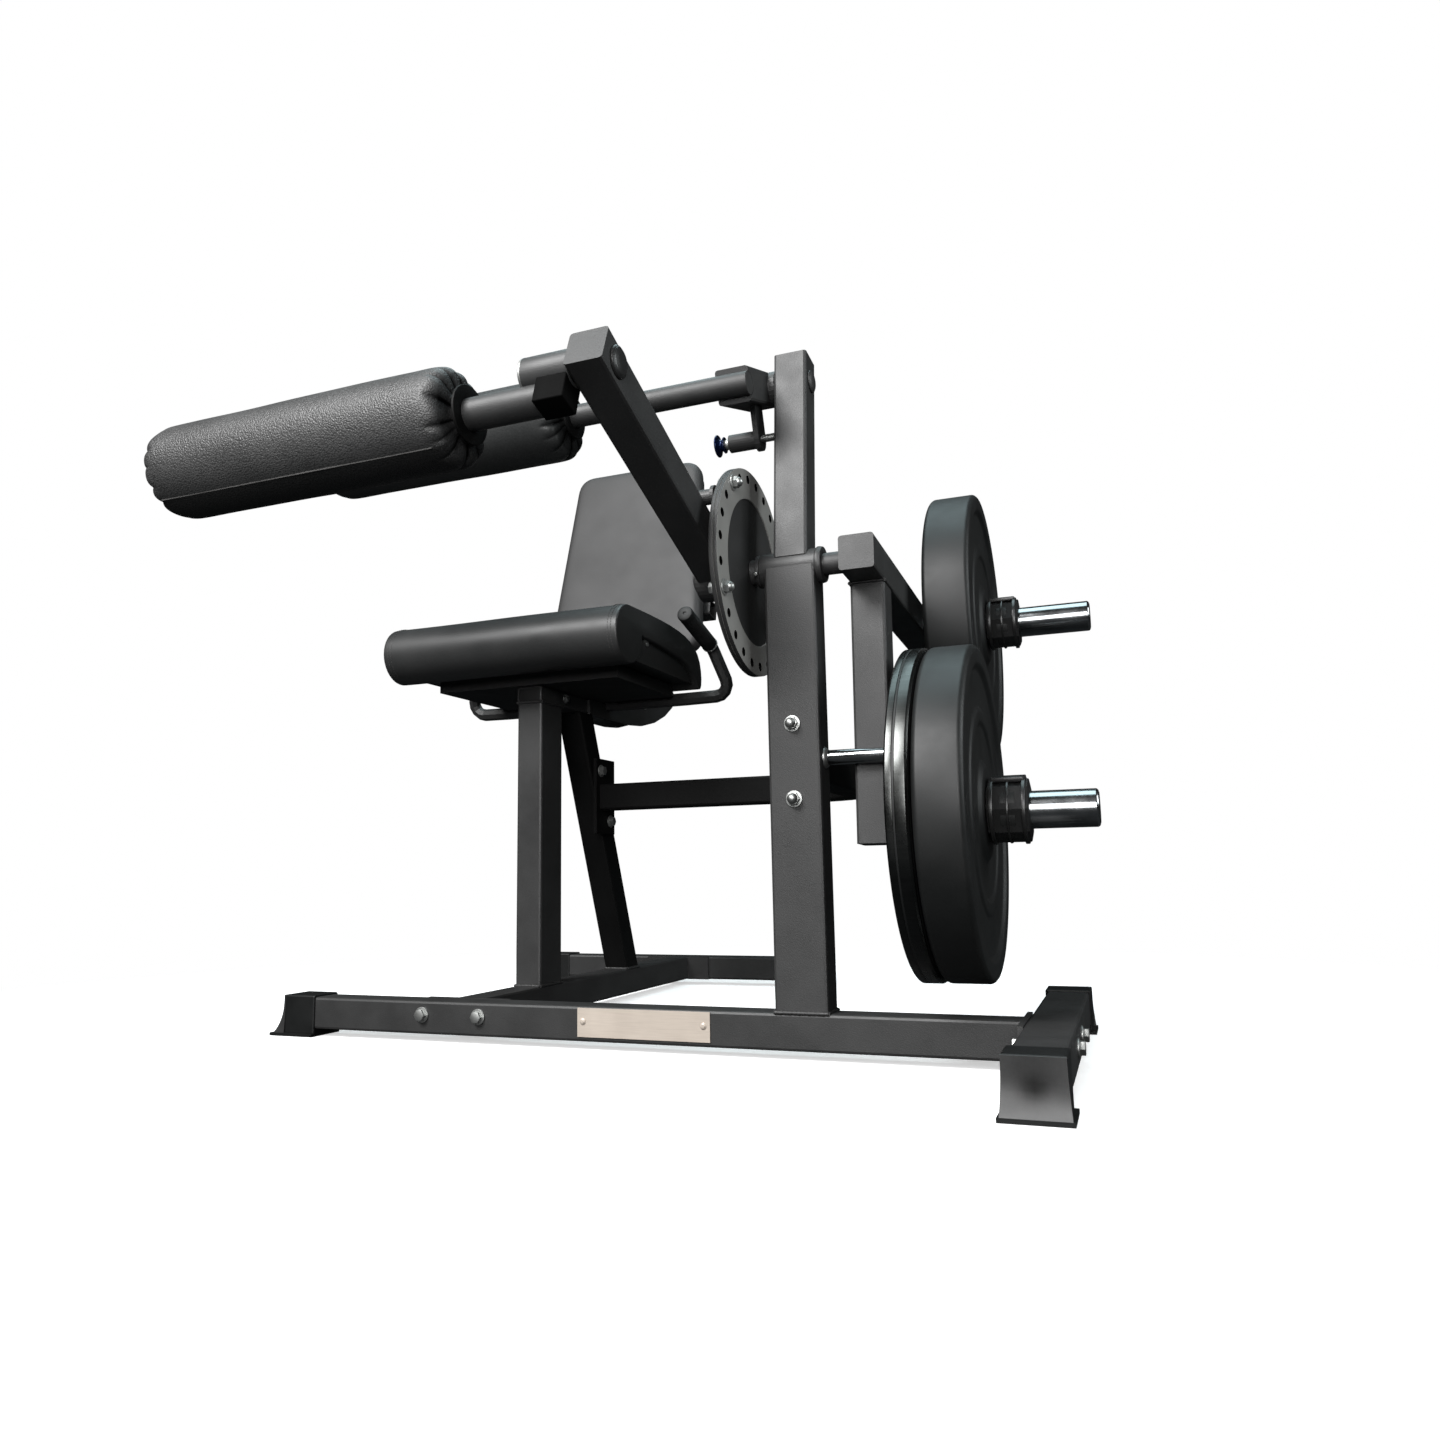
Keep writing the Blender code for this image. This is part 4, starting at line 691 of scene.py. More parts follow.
def weld(route: list[Vector], radius: float = 2.6, ripple: float = 2.2, sides: int = 8) -> bmesh.types.BMesh:
    """Lay a rippled weld bead along straight legs.

    Args:
        route: World points, one leg between each two.
        radius: The bead's mean radius in millimetres.
        ripple: Millimetres between its rings.
        sides: Faces round the bead.

    Returns:
        The bead.
    """
    legs = []
    for first, last in zip(route[:-1], route[1:]):
        length = (last - first).length
        count = max(int(length / (ripple * MM)), 4)
        turn = aim(first, last - first)
        rings = []
        for step in range(count + 1):
            size = radius * (1.0 + 0.13 * math.sin(step * 2.1) + 0.06 * math.sin(step * 0.9)) * MM
            angles = [math.tau * side / sides for side in range(sides)]
            along = length * step / count
            rings.append([turn @ Vector((size * math.cos(angle), size * math.sin(angle), along))
                          for angle in angles])
        legs.append(loft(rings))
    return merged(legs)


@dataclass
class Fastener:
    """Hexagon bolt head on a washer, or an acorn nut where it is domed."""

    spot: Vector
    direction: Vector
    hexagon: float = 9.2
    height: float = 7.2
    domed: bool = False
    washer: float = 12.0
    washer_thick: float = 2.2

    def shape(self) -> bmesh.types.BMesh:
        """Build the washer and the head.

        Returns:
            Both in one shape.
        """
        way = self.direction.normalized()
        thick = self.washer_thick
        ring = eased([(0.1, 0.0), (0.1, self.washer), (thick, self.washer), (thick, 0.0)], 0.5)
        start = self.spot + way * 2.0 * MM
        head = bar(start, start + way * self.height * MM, self.hexagon, 6, 0.7)
        parts = [turned(self.spot, way, ring, 32), head]
        if self.domed:
            top = start + way * (self.height - 0.6) * MM
            reach = self.hexagon * 0.82
            dome = [(0.0, 0.0), (0.0, reach)]
            dome += [(reach * math.sin(step * math.pi / 16), reach * math.cos(step * math.pi / 16))
                     for step in range(1, 8)]
            parts.append(turned(top, way, dome + [(reach, 0.0)], 24))
        return merged(parts)


class Geometry:
    """Places that several pieces share, in layout millimetres, with angles in radians."""

    # Main shaft, and the weight side's beam with the pendulum that hangs from it
    SHAFT_Y = 27.0
    SHAFT_Z = 685.0
    TILT = math.radians(2.5)
    BEAM_LENGTH = 420.0
    PENDULUM_OUT = 48.0
    PENDULUM_DROP = 357.0
    # Lever arm, and the roller link at its end
    ARM = math.radians(21.3)
    ARM_LENGTH = 420.0
    LINK_FORWARD = 10.0
    LINK_DROP = 33.0
    # Upper upright's lean and its top pin, and the hold-down link on it
    UPRIGHT_Y = 30.0
    UPRIGHT_Z = 708.0
    UPRIGHT_SLOPE = 0.0933
    PIVOT_Z = 978.0
    PIVOT_Y = UPRIGHT_Y + UPRIGHT_SLOPE * (PIVOT_Z - UPRIGHT_Z)
    HOLD = math.radians(19.0)
    HOLD_BAR_AT = 114.0
    HOLD_PIN_ALONG = 41.2
    HOLD_PIN_BELOW = 73.6
    # Indexing disc: its circle of holes, and the one that the pull pin sits in, in degrees above the front
    HOLE_CIRCLE = 138.0
    INDEX_DEGREES = 37.5

    @classmethod
    def upper_horn(cls) -> Spot:
        """Return the upper horn's Y and Z."""
        return (cls.SHAFT_Y + cls.BEAM_LENGTH * math.cos(cls.TILT),
                cls.SHAFT_Z - cls.BEAM_LENGTH * math.sin(cls.TILT))

    @classmethod
    def pendulum(cls) -> Spot:
        """Return the Y and Z at which the pendulum leaves the beam."""
        return (cls.SHAFT_Y + cls.PENDULUM_OUT * math.cos(cls.TILT),
                cls.SHAFT_Z - cls.PENDULUM_OUT * math.sin(cls.TILT))

    @classmethod
    def lower_horn(cls) -> Spot:
        """Return the lower horn's Y and Z."""
        y, z = cls.pendulum()
        return y - cls.PENDULUM_DROP * math.sin(cls.TILT), z - cls.PENDULUM_DROP * math.cos(cls.TILT)

    @classmethod
    def arm_pivot(cls) -> Spot:
        """Return the Y and Z of the lever arm's end pivot."""
        return (cls.SHAFT_Y - cls.ARM_LENGTH * math.cos(cls.ARM),
                cls.SHAFT_Z + cls.ARM_LENGTH * math.sin(cls.ARM))

    @classmethod
    def near_bar(cls) -> Spot:
        """Return the Y and Z of the near roller's axis."""
        y, z = cls.arm_pivot()
        return y - cls.LINK_FORWARD, z - cls.LINK_DROP

    @classmethod
    def far_bar(cls) -> Spot:
        """Return the Y and Z of the far roller's axis."""
        return (cls.PIVOT_Y - cls.HOLD_BAR_AT * math.cos(cls.HOLD),
                cls.PIVOT_Z - cls.HOLD_BAR_AT * math.sin(cls.HOLD))

    @classmethod
    def hold_pin(cls) -> Spot:
        """Return the Y and Z of the hold-down pull pin's axis."""
        y = cls.PIVOT_Y - cls.HOLD_PIN_ALONG * math.cos(cls.HOLD) + cls.HOLD_PIN_BELOW * math.sin(cls.HOLD)
        z = cls.PIVOT_Z - cls.HOLD_PIN_ALONG * math.sin(cls.HOLD) - cls.HOLD_PIN_BELOW * math.cos(cls.HOLD)
        return y, z

    @classmethod
    def index_pin(cls) -> Spot:
        """Return the Y and Z of the lever arm's pull pin."""
        angle = math.radians(cls.INDEX_DEGREES)
        return (cls.SHAFT_Y - cls.HOLE_CIRCLE * math.cos(angle),
                cls.SHAFT_Z + cls.HOLE_CIRCLE * math.sin(angle))

    @classmethod
    def disc_point(cls, x: float, degrees: float, radius: float = HOLE_CIRCLE) -> Vector:
        """Return a world point on the disc.

        Args:
            x: Layout X.
            degrees: Angle above the front.
            radius: Distance from the shaft.

        Returns:
            The point.
        """
        angle = math.radians(degrees)
        return at(x, cls.SHAFT_Y - radius * math.cos(angle), cls.SHAFT_Z + radius * math.sin(angle))


@dataclass
class FoamRoller:
    """Foam roller with a grained cover whose ends are gathered round the bar.

    The gathers are deepest at the end and run out along the cylinder. The mesh's attribute holds painted
    shade: in the gathers and on the end faces, and on the lower panel behind the seam, which faces down away
    from the light.
    """

    name: str
    axis: Spot
    x0: float
    x1: float
    bar_radius: float
    body: str
    look: Finish
    radius: float = 62.5
    pleats: int = 13
    steps: int = 238
    end_length: float = 42.0
    mouth: float = 3.0
    gather_reach: float = 20.0
    gather_depth: float = 9.5
    shade_reach: float = 18.0
    bulge: float = 2.72
    bulge_reach: float = 14.0
    seamed: bool = False
    seam_degrees: float = 54.5
    seam_inset: float = 16.0
    # How dark the painted shade on the lower panel below the seam is
    panel: float = 0.0

    def end_points(self, side: float) -> Profile:
        """Return one end's profile from the cylinder to the bar.

        Args:
            side: -1 for the left end and 1 for the right.

        Returns:
            Points of X and radius.
        """
        r = self.radius
        b = self.bar_radius + 0.6
        points = [(-self.end_length, r), (-31.0, r), (-23.0, r - 0.1), (-17.0, r - 0.4), (-12.0, r - 1.2),
                  (-8.0, r - 2.6), (-4.8, r - 4.8), (-2.2, r - 7.8), (-0.4, r - 11.8), (0.8, r - 17.0),
                  (1.5, r - 23.0), (2.0, b + 12.0), (4.0, b + 7.0), (7.5, b + 4.0), (8.6, b + 0.2)]
        edge = self.x1 if side > 0 else self.x0
        return [(edge + side * along, radius) for along, radius in points]

    def fold(self, angle: float, right: bool) -> float:
        """Return how deep the gathered cover lies.

        Args:
            angle: Place round the bar in radians.
            right: Whether it is the right end, whose folds fall differently.

        Returns:
            A value from 0 on a bulge to 1 in the deepest fold; it also sets the painted shade there.
        """
        start = 0.4 if right else 1.9
        phase = angle + 0.10 * math.sin(3.0 * angle + start) + 0.06 * math.sin(5.0 * angle - 1.1 * start)
        wave = abs(math.cos(self.pleats * phase / 2.0 + start))
        large = 0.75 + 0.25 * math.sin(4.0 * angle + 2.2 * start)
        return (1.0 - wave ** 0.45) * large

    def press(self, vert: bmesh.types.BMVert, dark: bmesh.types.BMLayerItem) -> None:
        """Move one vertex of the spun cover into its fold and shade it.

        Args:
            vert: The vertex.
            dark: The layer of the painted shade attribute.
        """
        centre = at(0.0, *self.axis)
        radial = Vector((0.0, vert.co.y - centre.y, vert.co.z - centre.z))
        reach = radial.length / MM
        out = reach - self.bar_radius - self.mouth
        if out < 0.0:
            return
        x = vert.co.x / MM + ORIGIN_X
        on_right = x > (self.x0 + self.x1) / 2
        inward = min(x - self.x0, self.x1 - x)
        along = max(0.0, inward)
        angle = math.atan2(radial.z, radial.y)
        crease_and_painted_shade = self.fold(angle, on_right)
        # Painted shade: dark in the gathers near the ends, and darker on the end face
        shade = max(0.0, 1.0 - along / self.shade_reach) * min(1.0, 0.1 + 1.5 * crease_and_painted_shade)
        if reach < self.radius - 9.0:
            shade = max(shade, 0.5 + crease_and_painted_shade)
        # Painted shade on the lower panel below the seam
        degrees = math.degrees(math.atan2(-radial.z, -radial.y))
        below = self.panel * smooth_step((degrees - self.seam_degrees) / 1.5)
        vert[dark] = min(1.0, max(shade, below))
        depth = self.gather_depth * max(0.0, 1.0 - along / self.gather_reach) ** 1.2 * min(1.0, out / 22.0)
        wander = 0.35 * math.sin(x * 0.021 + 2.0 * angle) + 0.25 * math.sin(x * 0.047 - 3.0 * angle)
        vert.co += radial.normalized() * ((wander * min(1.0, along / 40.0) - depth * crease_and_painted_shade) * MM)
        if inward < self.bulge_reach and reach < self.radius - 1.0:
            swell = self.bulge * (0.35 - crease_and_painted_shade) * min(1.0, out / 16.0)
            vert.co.x += (swell if on_right else -swell) * MM

    def shape(self) -> bmesh.types.BMesh:
        """Spin the cover and press its gathers in.

        Returns:
            The cover, with its painted shade attribute.
        """
        start = self.x0 + self.end_length
        length = self.x1 - self.x0 - 2 * self.end_length
        middle = [(start + length * step / 9.0, self.radius) for step in range(1, 9)]
        profile = self.end_points(-1.0)[::-1] + middle + self.end_points(1.0)
        bm = turned_x(self.axis, profile, self.steps)
        dark = bm.verts.layers.float.new("crease_and_painted_shade")
        for vert in bm.verts:
            self.press(vert, dark)
        return bm

    def seam(self) -> None:
        """Lay the piping along the cover's closing seam."""
        y, z = self.axis
        angle = math.radians(self.seam_degrees)
        for name, radius, size in (("welt", self.radius - 0.25, 1.1), ("thread", self.radius + 0.55, 0.45)):
            start, end = [at(x, y - radius * math.cos(angle), z - radius * math.sin(angle))
                          for x in (self.x0 + self.seam_inset, self.x1 - self.seam_inset)]
            finish_piece(self.name + "_seam_" + name, bar(start, end, size, 8), THREAD, self.body)

    def build(self) -> None:
        """Build the cover and its seam."""
        piece = finish_piece(self.name + "_cover", self.shape(), self.look, self.body,
                             (self.name,), 70.0)
        sub = piece.modifiers.new("soften", "SUBSURF")
        sub.levels = 1
        sub.render_levels = 1
        if self.seamed:
            self.seam()


@dataclass
class Pads:
    """Seat pad, backrest pad, their stitches and the handle grips."""

    seat_half: float = 232.6
    roll_y: float = 163.0
    roll_z: float = 650.0
    roll_r: float = 50.3
    top: float = 702.0
    crown: float = 2.4
    back_lean: float = math.radians(12.2)
    back_length: float = 466.0
    back_x: float = -527.0
    back_foot: Spot = (597.0, 716.0)
    back_bottom: float = 181.5
    back_top: float = 151.5
    back_corner: float = 40.0
    back_thick: float = 34.5
    handle_reach: float = 267.0
    grip_end: Spot = (318.0, 716.0)
    grip_root: Spot = (455.0, 678.0)
    grip_radius: float = 15.0
    grip_bore: float = 12.8

    def top_line(self) -> Profile:
        """Draw the seat's outline over the top and down its rear.

        Returns:
            Points of Y and Z.
        """
        top = self.top
        return [(190.0, top - 1.0), (220.0, top - 0.6), (260.0, top), (300.0, top + 0.6),
                (340.0, top - 0.2), (375.0, top - 2.5), (405.0, top - 6.5), (430.0, top - 12.5),
                (450.0, top - 20.5), (466.0, top - 31.0), (477.0, top - 45.0), (483.0, top - 61.0),
                (485.0, 625.0), (483.0, 611.0), (478.0, 604.0)]

    def seat_outline(self) -> Profile:
        """Draw the cushion's side outline: front roll, top, rear and its hollow underside.

        Returns:
            Points of Y and Z.
        """
        points: Profile = []
        for step in range(31):
            angle = math.radians(8.0 - 278.0 * step / 30.0)
            points.append((self.roll_y + self.roll_r * math.cos(angle),
                           self.roll_z + self.roll_r * math.sin(angle)))
        points += self.top_line()
        points += [(470.0, 605.0), (458.0, 618.0), (440.0, 631.0), (415.0, 641.0), (380.0, 648.0),
                   (330.0, 652.0), (280.0, 654.0), (235.0, 655.0), (218.0, 655.0)]
        return points

    def seat_point(self, x: float, y: float, z: float) -> Vector:
        """Return a point of the cushion, lifted where its top is crowned and let wander a little.

        Args:
            x: Layout X.
            y: Layout Y.
            z: Layout Z on the plain outline.

        Returns:
            The world point.
        """
        across = (x - SEAT_X) / self.seat_half
        front, rear, run = 200.0, 430.0, 60.0
        lift = 0.0
        if z > self.top - 26.0 and front < y < rear:
            lift = self.crown * (1.0 - across * across)
        wave = 0.35 * math.sin(x * 0.019 + y * 0.03)
        return at(x, y, z + lift * min(1.0, (y - front) / run, (rear - y) / run) - 0.5 + wave)

    def seat(self) -> None:
        """Build the rolled cushion."""
        edge = [(0.0, 3.0), (0.3, 1.9), (1.0, 0.9), (2.2, 0.3), (4.5, 0.05), (12.0, 0.0)]
        left = SEAT_X - self.seat_half
        right = SEAT_X + self.seat_half
        last = edge[-1][0]
        length = 2 * self.seat_half - 2 * last
        places = [(left + x, inset) for x, inset in edge]
        places += [(left + last + length * step / 10.0, 0.0) for step in range(1, 10)]
        places += [(right - x, inset) for x, inset in reversed(edge)]
        outline = self.seat_outline()
        rings = [[self.seat_point(x, y, z) for y, z in shrunk(outline, inset)] for x, inset in places]
        piece = finish_piece("seat_cover", loft(rings), SEAT_VINYL, "frame", ("seat_pad",),
                             32.0)

    def seat_panel(self) -> None:
        """Build the darker panel between the cushion and its board."""
        panel = [(205.0, 612.2), (458.0, 612.2), (452.0, 622.0), (438.0, 632.5), (414.0, 642.5),
                 (380.0, 650.0), (330.0, 655.0), (205.0, 660.0)]
        half = self.seat_half
        rings = []
        for x, inset in ((11.0 - half, 0.0), (13.0 - half, 3.0), (half - 13.0, 3.0), (half - 11.0, 0.0)):
            rings.append([at(SEAT_X + x, y, z) for y, z in shrunk(panel, inset)])
        inner = finish_piece("seat_cover_panel", loft(rings), SEAT_VINYL, "frame")

    def stitches(self) -> None:
        """Sew a double row round each end of the front roll."""
        radius = self.roll_r + 0.1
        turns = [math.radians(-120.0 - 150.0 * step / 109.0) for step in range(110)]
        route = [(self.roll_y + radius * math.cos(turn), self.roll_z + radius * math.sin(turn))
                 for turn in turns]
        half = self.seat_half
        rows = []
        for x in (11.0 - half, 17.0 - half, half - 17.0, half - 11.0):
            for index in range(0, 108, 4):
                rows.append(bar(at(SEAT_X + x, *route[index]), at(SEAT_X + x, *route[index + 2]), 0.55, 5))
        finish_piece("seat_stitches", merged(rows), THREAD, "frame")

    def back_outline(self, inset: float) -> Profile:
        """Return the backrest's outline in its own plane, with rounded corners.

        Args:
            inset: How far it lies inside the pad's edge.

        Returns:
            Points of across and up.
        """
        low = self.back_bottom - inset
        high = self.back_top - inset
        top = self.back_length - inset
        corners = [Vector((-low, inset)), Vector((low, inset)), Vector((high, top)), Vector((-high, top))]
        size = max(self.back_corner - inset * 0.7, 6.0)
        points: Profile = []
        for index, corner in enumerate(corners):
            back = (corners[index - 1] - corner).normalized()
            leg = corners[(index + 1) % 4] - corner
            ahead = leg.normalized()
            last = corner + ahead * size
            points += [bent(corner + back * size, corner, last, step / 10) for step in range(11)]
            rest = leg.length - 2 * size
            points += [tuple(last + ahead * rest * step / 8) for step in range(1, 8)]
        return points

    def backrest(self) -> None:
        """Build the backrest cover as a crowned, round-edged form."""
        up = Vector((0.0, math.sin(self.back_lean), math.cos(self.back_lean)))
        away = Vector((0.0, math.cos(self.back_lean), -math.sin(self.back_lean)))
        foot = at(self.back_x, *self.back_foot)
        rows = [(self.back_thick, 3.0), (self.back_thick - 2.0, 0.8), (self.back_thick - 6.0, 0.0),
                (20.0, 0.0), (15.0, 0.6), (10.5, 2.2), (7.0, 4.6), (4.4, 7.8), (2.8, 11.5), (1.9, 17.0),
                (1.3, 26.0), (0.8, 42.0), (0.4, 65.0), (0.15, 95.0), (0.0, 128.0)]
        rings = []
        for depth, inset in rows:
            ring = []
            for u, v in self.back_outline(inset):
                wave = 0.5 * math.sin(u * 0.02 + 1.0) * math.sin(v * 0.017) if inset > 20.0 else 0.0
                ring.append(foot + RIGHT * (u * MM) + up * (v * MM) + away * ((depth + wave + 0.5) * MM))
            rings.append(ring)
        piece = finish_piece("backrest_cover", loft(rings), BACK_VINYL, "frame",
                             ("backrest_pad",), 60.0)

    def grip_profile(self) -> Profile:
        """Draw a grip's section from its dimpled end down its ribs.

        Returns:
            Points of along and radius.
        """
        r = self.grip_radius
        profile = [(-1.6, 0.0), (-1.6, 2.2), (-0.2, 3.2), (0.0, 10.6), (-1.0, 13.6), (-3.4, 14.9),
                   (-11.0, r)]
        for rib in range(15):
            x = -14.0 - 6.0 * rib
            profile += [(x, r), (x - 0.9, 14.2), (x - 2.1, 14.2), (x - 3.0, r)]
        profile += [(-108.0, r), (-119.0, r), (-121.5, 14.4), (-123.5, 15.2), (-125.0, 14.6),
                    (-125.0, self.grip_bore), (-9.4, self.grip_bore), (-9.4, 0.0)]
        return profile

    def grips(self) -> None:
        """Spin the ribbed grips with their dimpled ends."""
        for name, way in (("left", -1.0), ("right", 1.0)):
            x = SEAT_X + way * self.handle_reach
            end = at(x, *self.grip_end)
            along = (end - at(x, *self.grip_root)).normalized()
            grip = turned(end, along, self.grip_profile(), 48)
            piece = finish_piece("ribbed_grip_" + name, grip, GRIP, "frame",
                                 ("handle_grip_" + name,), 40.0)
            ring = eased([(-126.4, 12.7), (-126.4, 15.6), (-129.4, 15.6), (-129.4, 12.7)], 0.5)
            finish_piece("grip_ring_" + name, turned(end, along, ring, 40), ZINC, "frame")

    def build(self) -> None:
        """Build the pads and grips."""
        self.seat()
        self.seat_panel()
        self.stitches()
        self.backrest()
        self.grips()


@dataclass(frozen=True)
class Plate:
    """A weight plate: its horn, the X of its two sides, its rim's width, its slot and its body."""

    name: str
    horn: Spot
    x0: float
    x1: float
    rim: float
    slot: str
    body: str


@dataclass
class WeightStack:
    """Indexing disc, shaft, horns, plates and clamp collars."""

    disc_radius: float = 152.0
    ring_radius: float = 108.0
    disc_left: float = -35.0
    disc_right: float = -23.0
    web_right: float = -25.0
    disc_bore: float = 16.6
    holes: int = 24
    first_hole: float = 7.5
    hole_radius: float = 6.5
    plate_radius: float = 225.0
    plate_hub: float = 60.0
    bore: float = 25.4
    horn_radius: float = 25.0
    horn_start: float = 169.0
    plate_list: tuple[Plate, ...] = (
        Plate("lower_bumper_plate", Geometry.lower_horn(), 228.0, 290.0, 26.0, "bumper_rubber",
              "lower_load"),
        Plate("lower_thin_plate", Geometry.lower_horn(), 196.0, 226.0, 20.0, "plate_iron", "lower_load"),
        Plate("upper_bumper_plate", Geometry.upper_horn(), 185.0, 259.0, 26.0, "bumper_rubber",
              "upper_load"))

    def disc_blank(self) -> bpy.types.Object:
        """Spin the disc with its grooved edge and thinner middle.

        Returns:
            The disc without its holes.
        """
        r = self.disc_radius
        left, right, web = self.disc_left, self.disc_right, self.web_right
        groove = (left + right) / 2 - 0.2
        profile = [(left, self.disc_bore), (left, r), (groove - 0.4, r), (groove, r - 1.2),
                   (groove + 0.4, r), (right, r), (right, self.ring_radius), (web, self.ring_radius),
                   (web, self.disc_bore)]
        shaft = (Geometry.SHAFT_Y, Geometry.SHAFT_Z)
        return finish_piece("index_disc", turned_x(shaft, eased(profile, 0.7, 2), 144), RING_COAT,
                            "weight_frame", ("indexing_disc",), 30.0)

    def pegs(self, x0: float, x1: float, radius: float) -> bmesh.types.BMesh:
        """Return a round peg at each of the disc's holes.

        Args:
            x0: Layout X of their left ends.
            x1: Layout X of their right ends.
            radius: Their radius.

        Returns:
            All pegs in one shape.
        """
        places = [self.first_hole + 360.0 * index / self.holes for index in range(self.holes)]
        return merged([bar(Geometry.disc_point(x0, place), Geometry.disc_point(x1, place), radius, 24)
                       for place in places])

    def cut_holes(self, piece: bpy.types.Object) -> bpy.types.Mesh:
        """Cut the ring of holes.

        Args:
            piece: The uncut disc.

        Returns:
            The cut mesh, which the piece then has.
        """
        mesh = bpy.data.meshes.new("hole_cutters")
        whole = self.pegs(self.disc_left - 6.0, self.disc_right + 6.0, self.hole_radius)
        whole.to_mesh(mesh)
        whole.free()
        tool = bpy.data.objects.new("hole_cutters", mesh)
        bpy.context.scene.collection.objects.link(tool)
        cut = piece.modifiers.new("holes", "BOOLEAN")
        cut.operation = "DIFFERENCE"
        cut.solver = "EXACT"
        cut.object = tool
        bpy.context.view_layer.update()
        baked = bpy.data.meshes.new_from_object(piece.evaluated_get(bpy.context.evaluated_depsgraph_get()))
        piece.modifiers.clear()
        bpy.data.objects.remove(tool, do_unlink=True)
        old = piece.data
        piece.data = baked
        bpy.data.meshes.remove(old)
        baked.name = "index_disc"
        return baked

    def disc(self) -> None:
        """Build the disc: a lighter ring on its right side, and holes whose walls and the thin disc set in
        each are painted shade.
        """
        baked = self.cut_holes(self.disc_blank())
        # A near-black disc inside each through hole is painted shade
        finish_piece("hole_shade_discs", self.pegs(-33.4, -32.8, 6.6), SHADE_BLACK, "weight_frame")
        baked.materials.clear()
        for look in (RING_COAT, POWDER, SHADE_BLACK):
            baked.materials.append(look.material())
        ring, coat, hole_shade = range(3)
        centre = at(0.0, Geometry.SHAFT_Y, Geometry.SHAFT_Z)
        baked.set_sharp_from_angle(angle=math.radians(30.0))
        for face in baked.polygons:
            face.use_smooth = abs(face.normal.x) < 0.99
            reach = math.hypot(face.center.y - centre.y, face.center.z - centre.z) / MM
            # The hole walls get painted shade
            if abs(face.normal.x) < 0.5 and self.ring_radius + 20.0 < reach < self.disc_radius - 4.0:
                face.material_index = hole_shade
            elif reach < self.ring_radius - 0.2 or reach > self.disc_radius - 0.4 or face.normal.x < -0.9:
                face.material_index = coat
            else:
                face.material_index = ring

    def plate(self, plate: Plate) -> None:
        """Spin one weight plate with its rounded rim, raised ring, dish and hub.

        Args:
            plate: The plate.
        """
        r = self.plate_radius
        x0, x1 = plate.x0, plate.x1
        deep = x1 - min(6.0, (x1 - x0) / 4)
        half = [(x1, self.bore), (x1, self.plate_hub), (deep, self.plate_hub + 9.0), (deep, 116.0),
                (deep + 3.4, 121.0), (deep + 3.4, 136.0), (deep, 141.0), (deep, r - plate.rim - 7.0),
                (x1, r - plate.rim), (x1, r - 5.0), (x1 - 5.0, r)]
        profile = half + [(x0 + (x1 - along), radius) for along, radius in reversed(half)]
        body = turned_x(plate.horn, eased(profile, 3.0, 4), 160)
        finish_piece(plate.name + "_body", body, RUBBER, plate.body, (plate.name,), 40.0)

    def plates(self) -> None:
        """Build the plates on both horns, the thin one's chrome band and the bumpers' steel inserts."""
        for plate in self.plate_list:
            self.plate(plate)
        lower, thin, upper = self.plate_list
        r = self.plate_radius
        band = [(196.4, r - 14.0), (196.4, r - 2.0), (198.4, r + 0.5), (206.0, r + 0.5), (207.0, r - 0.4),
                (208.4, r - 0.4), (209.4, r + 0.5), (222.0, r + 0.5), (225.4, r - 2.4), (225.8, r - 14.0)]
        finish_piece("thin_plate_band", turned_x(thin.horn, eased(band), 160), EDGE_CHROME, thin.body)
        for name, plate in (("lower", lower), ("upper", upper)):
            insert = [(plate.x0 - 0.3, self.bore - 0.1), (plate.x0 - 0.3, 34.0), (plate.x1 + 0.3, 34.0),
                      (plate.x1 + 0.3, self.bore - 0.1)]
            finish_piece(name + "_plate_insert", turned_x(plate.horn, eased(insert)), ZINC, plate.body)

    def clamp(self, name: str, spot: Spot, x0: float, x1: float, radius: float, body: str) -> None:
        """Build a clamp collar: an eight-sided ridged shell, its closing lever and its band.

        Args:
            name: The CAD node that it replaces.
            spot: Y and Z of the horn.
            x0: X of its left side.
            x1: X of its right side.
            radius: Radius of the shell's corners.
            body: The body that it moves with.
        """
        y, z = spot
        middle = (x0 + x1) / 2
        parts = [bar(at(x0, y, z), at(x1, y, z), radius, 8, 2.0)]
        lever = block((x1 - x0 - 10.0, 40.0, 7.0), 1.6)
        bmesh.ops.rotate(lever, cent=(0.0, 0.0, 0.0), matrix=Matrix.Rotation(math.radians(8.0), 3, "X"),
                         verts=lever.verts[:])
        bmesh.ops.translate(lever, vec=at(middle, y - 2.0, z + radius + 0.4), verts=lever.verts[:])
        parts.append(lever)
        for centre, half, rise in ((x0 + 6.0, 2.4, 2.6), (middle, 1.5, 1.4), (x1 - 6.0, 2.4, 2.6)):
            ridge = [(centre - half, radius - 4.0), (centre - half, radius + rise),
                     (centre + half, radius + rise), (centre + half, radius - 4.0)]
            parts.append(turned_x(spot, eased(ridge, 0.6), 40))
        finish_piece(name + "_shell", merged(parts), PLASTIC, body, (name,), 30.0)
        band = [(x0 + 17.0, radius - 7.0), (x0 + 17.0, radius - 2.4), (x1 - 17.0, radius - 2.4),
                (x1 - 17.0, radius - 7.0)]
        finish_piece(name + "_band", turned_x(spot, eased(band, 0.6), 48), GRIP, body)

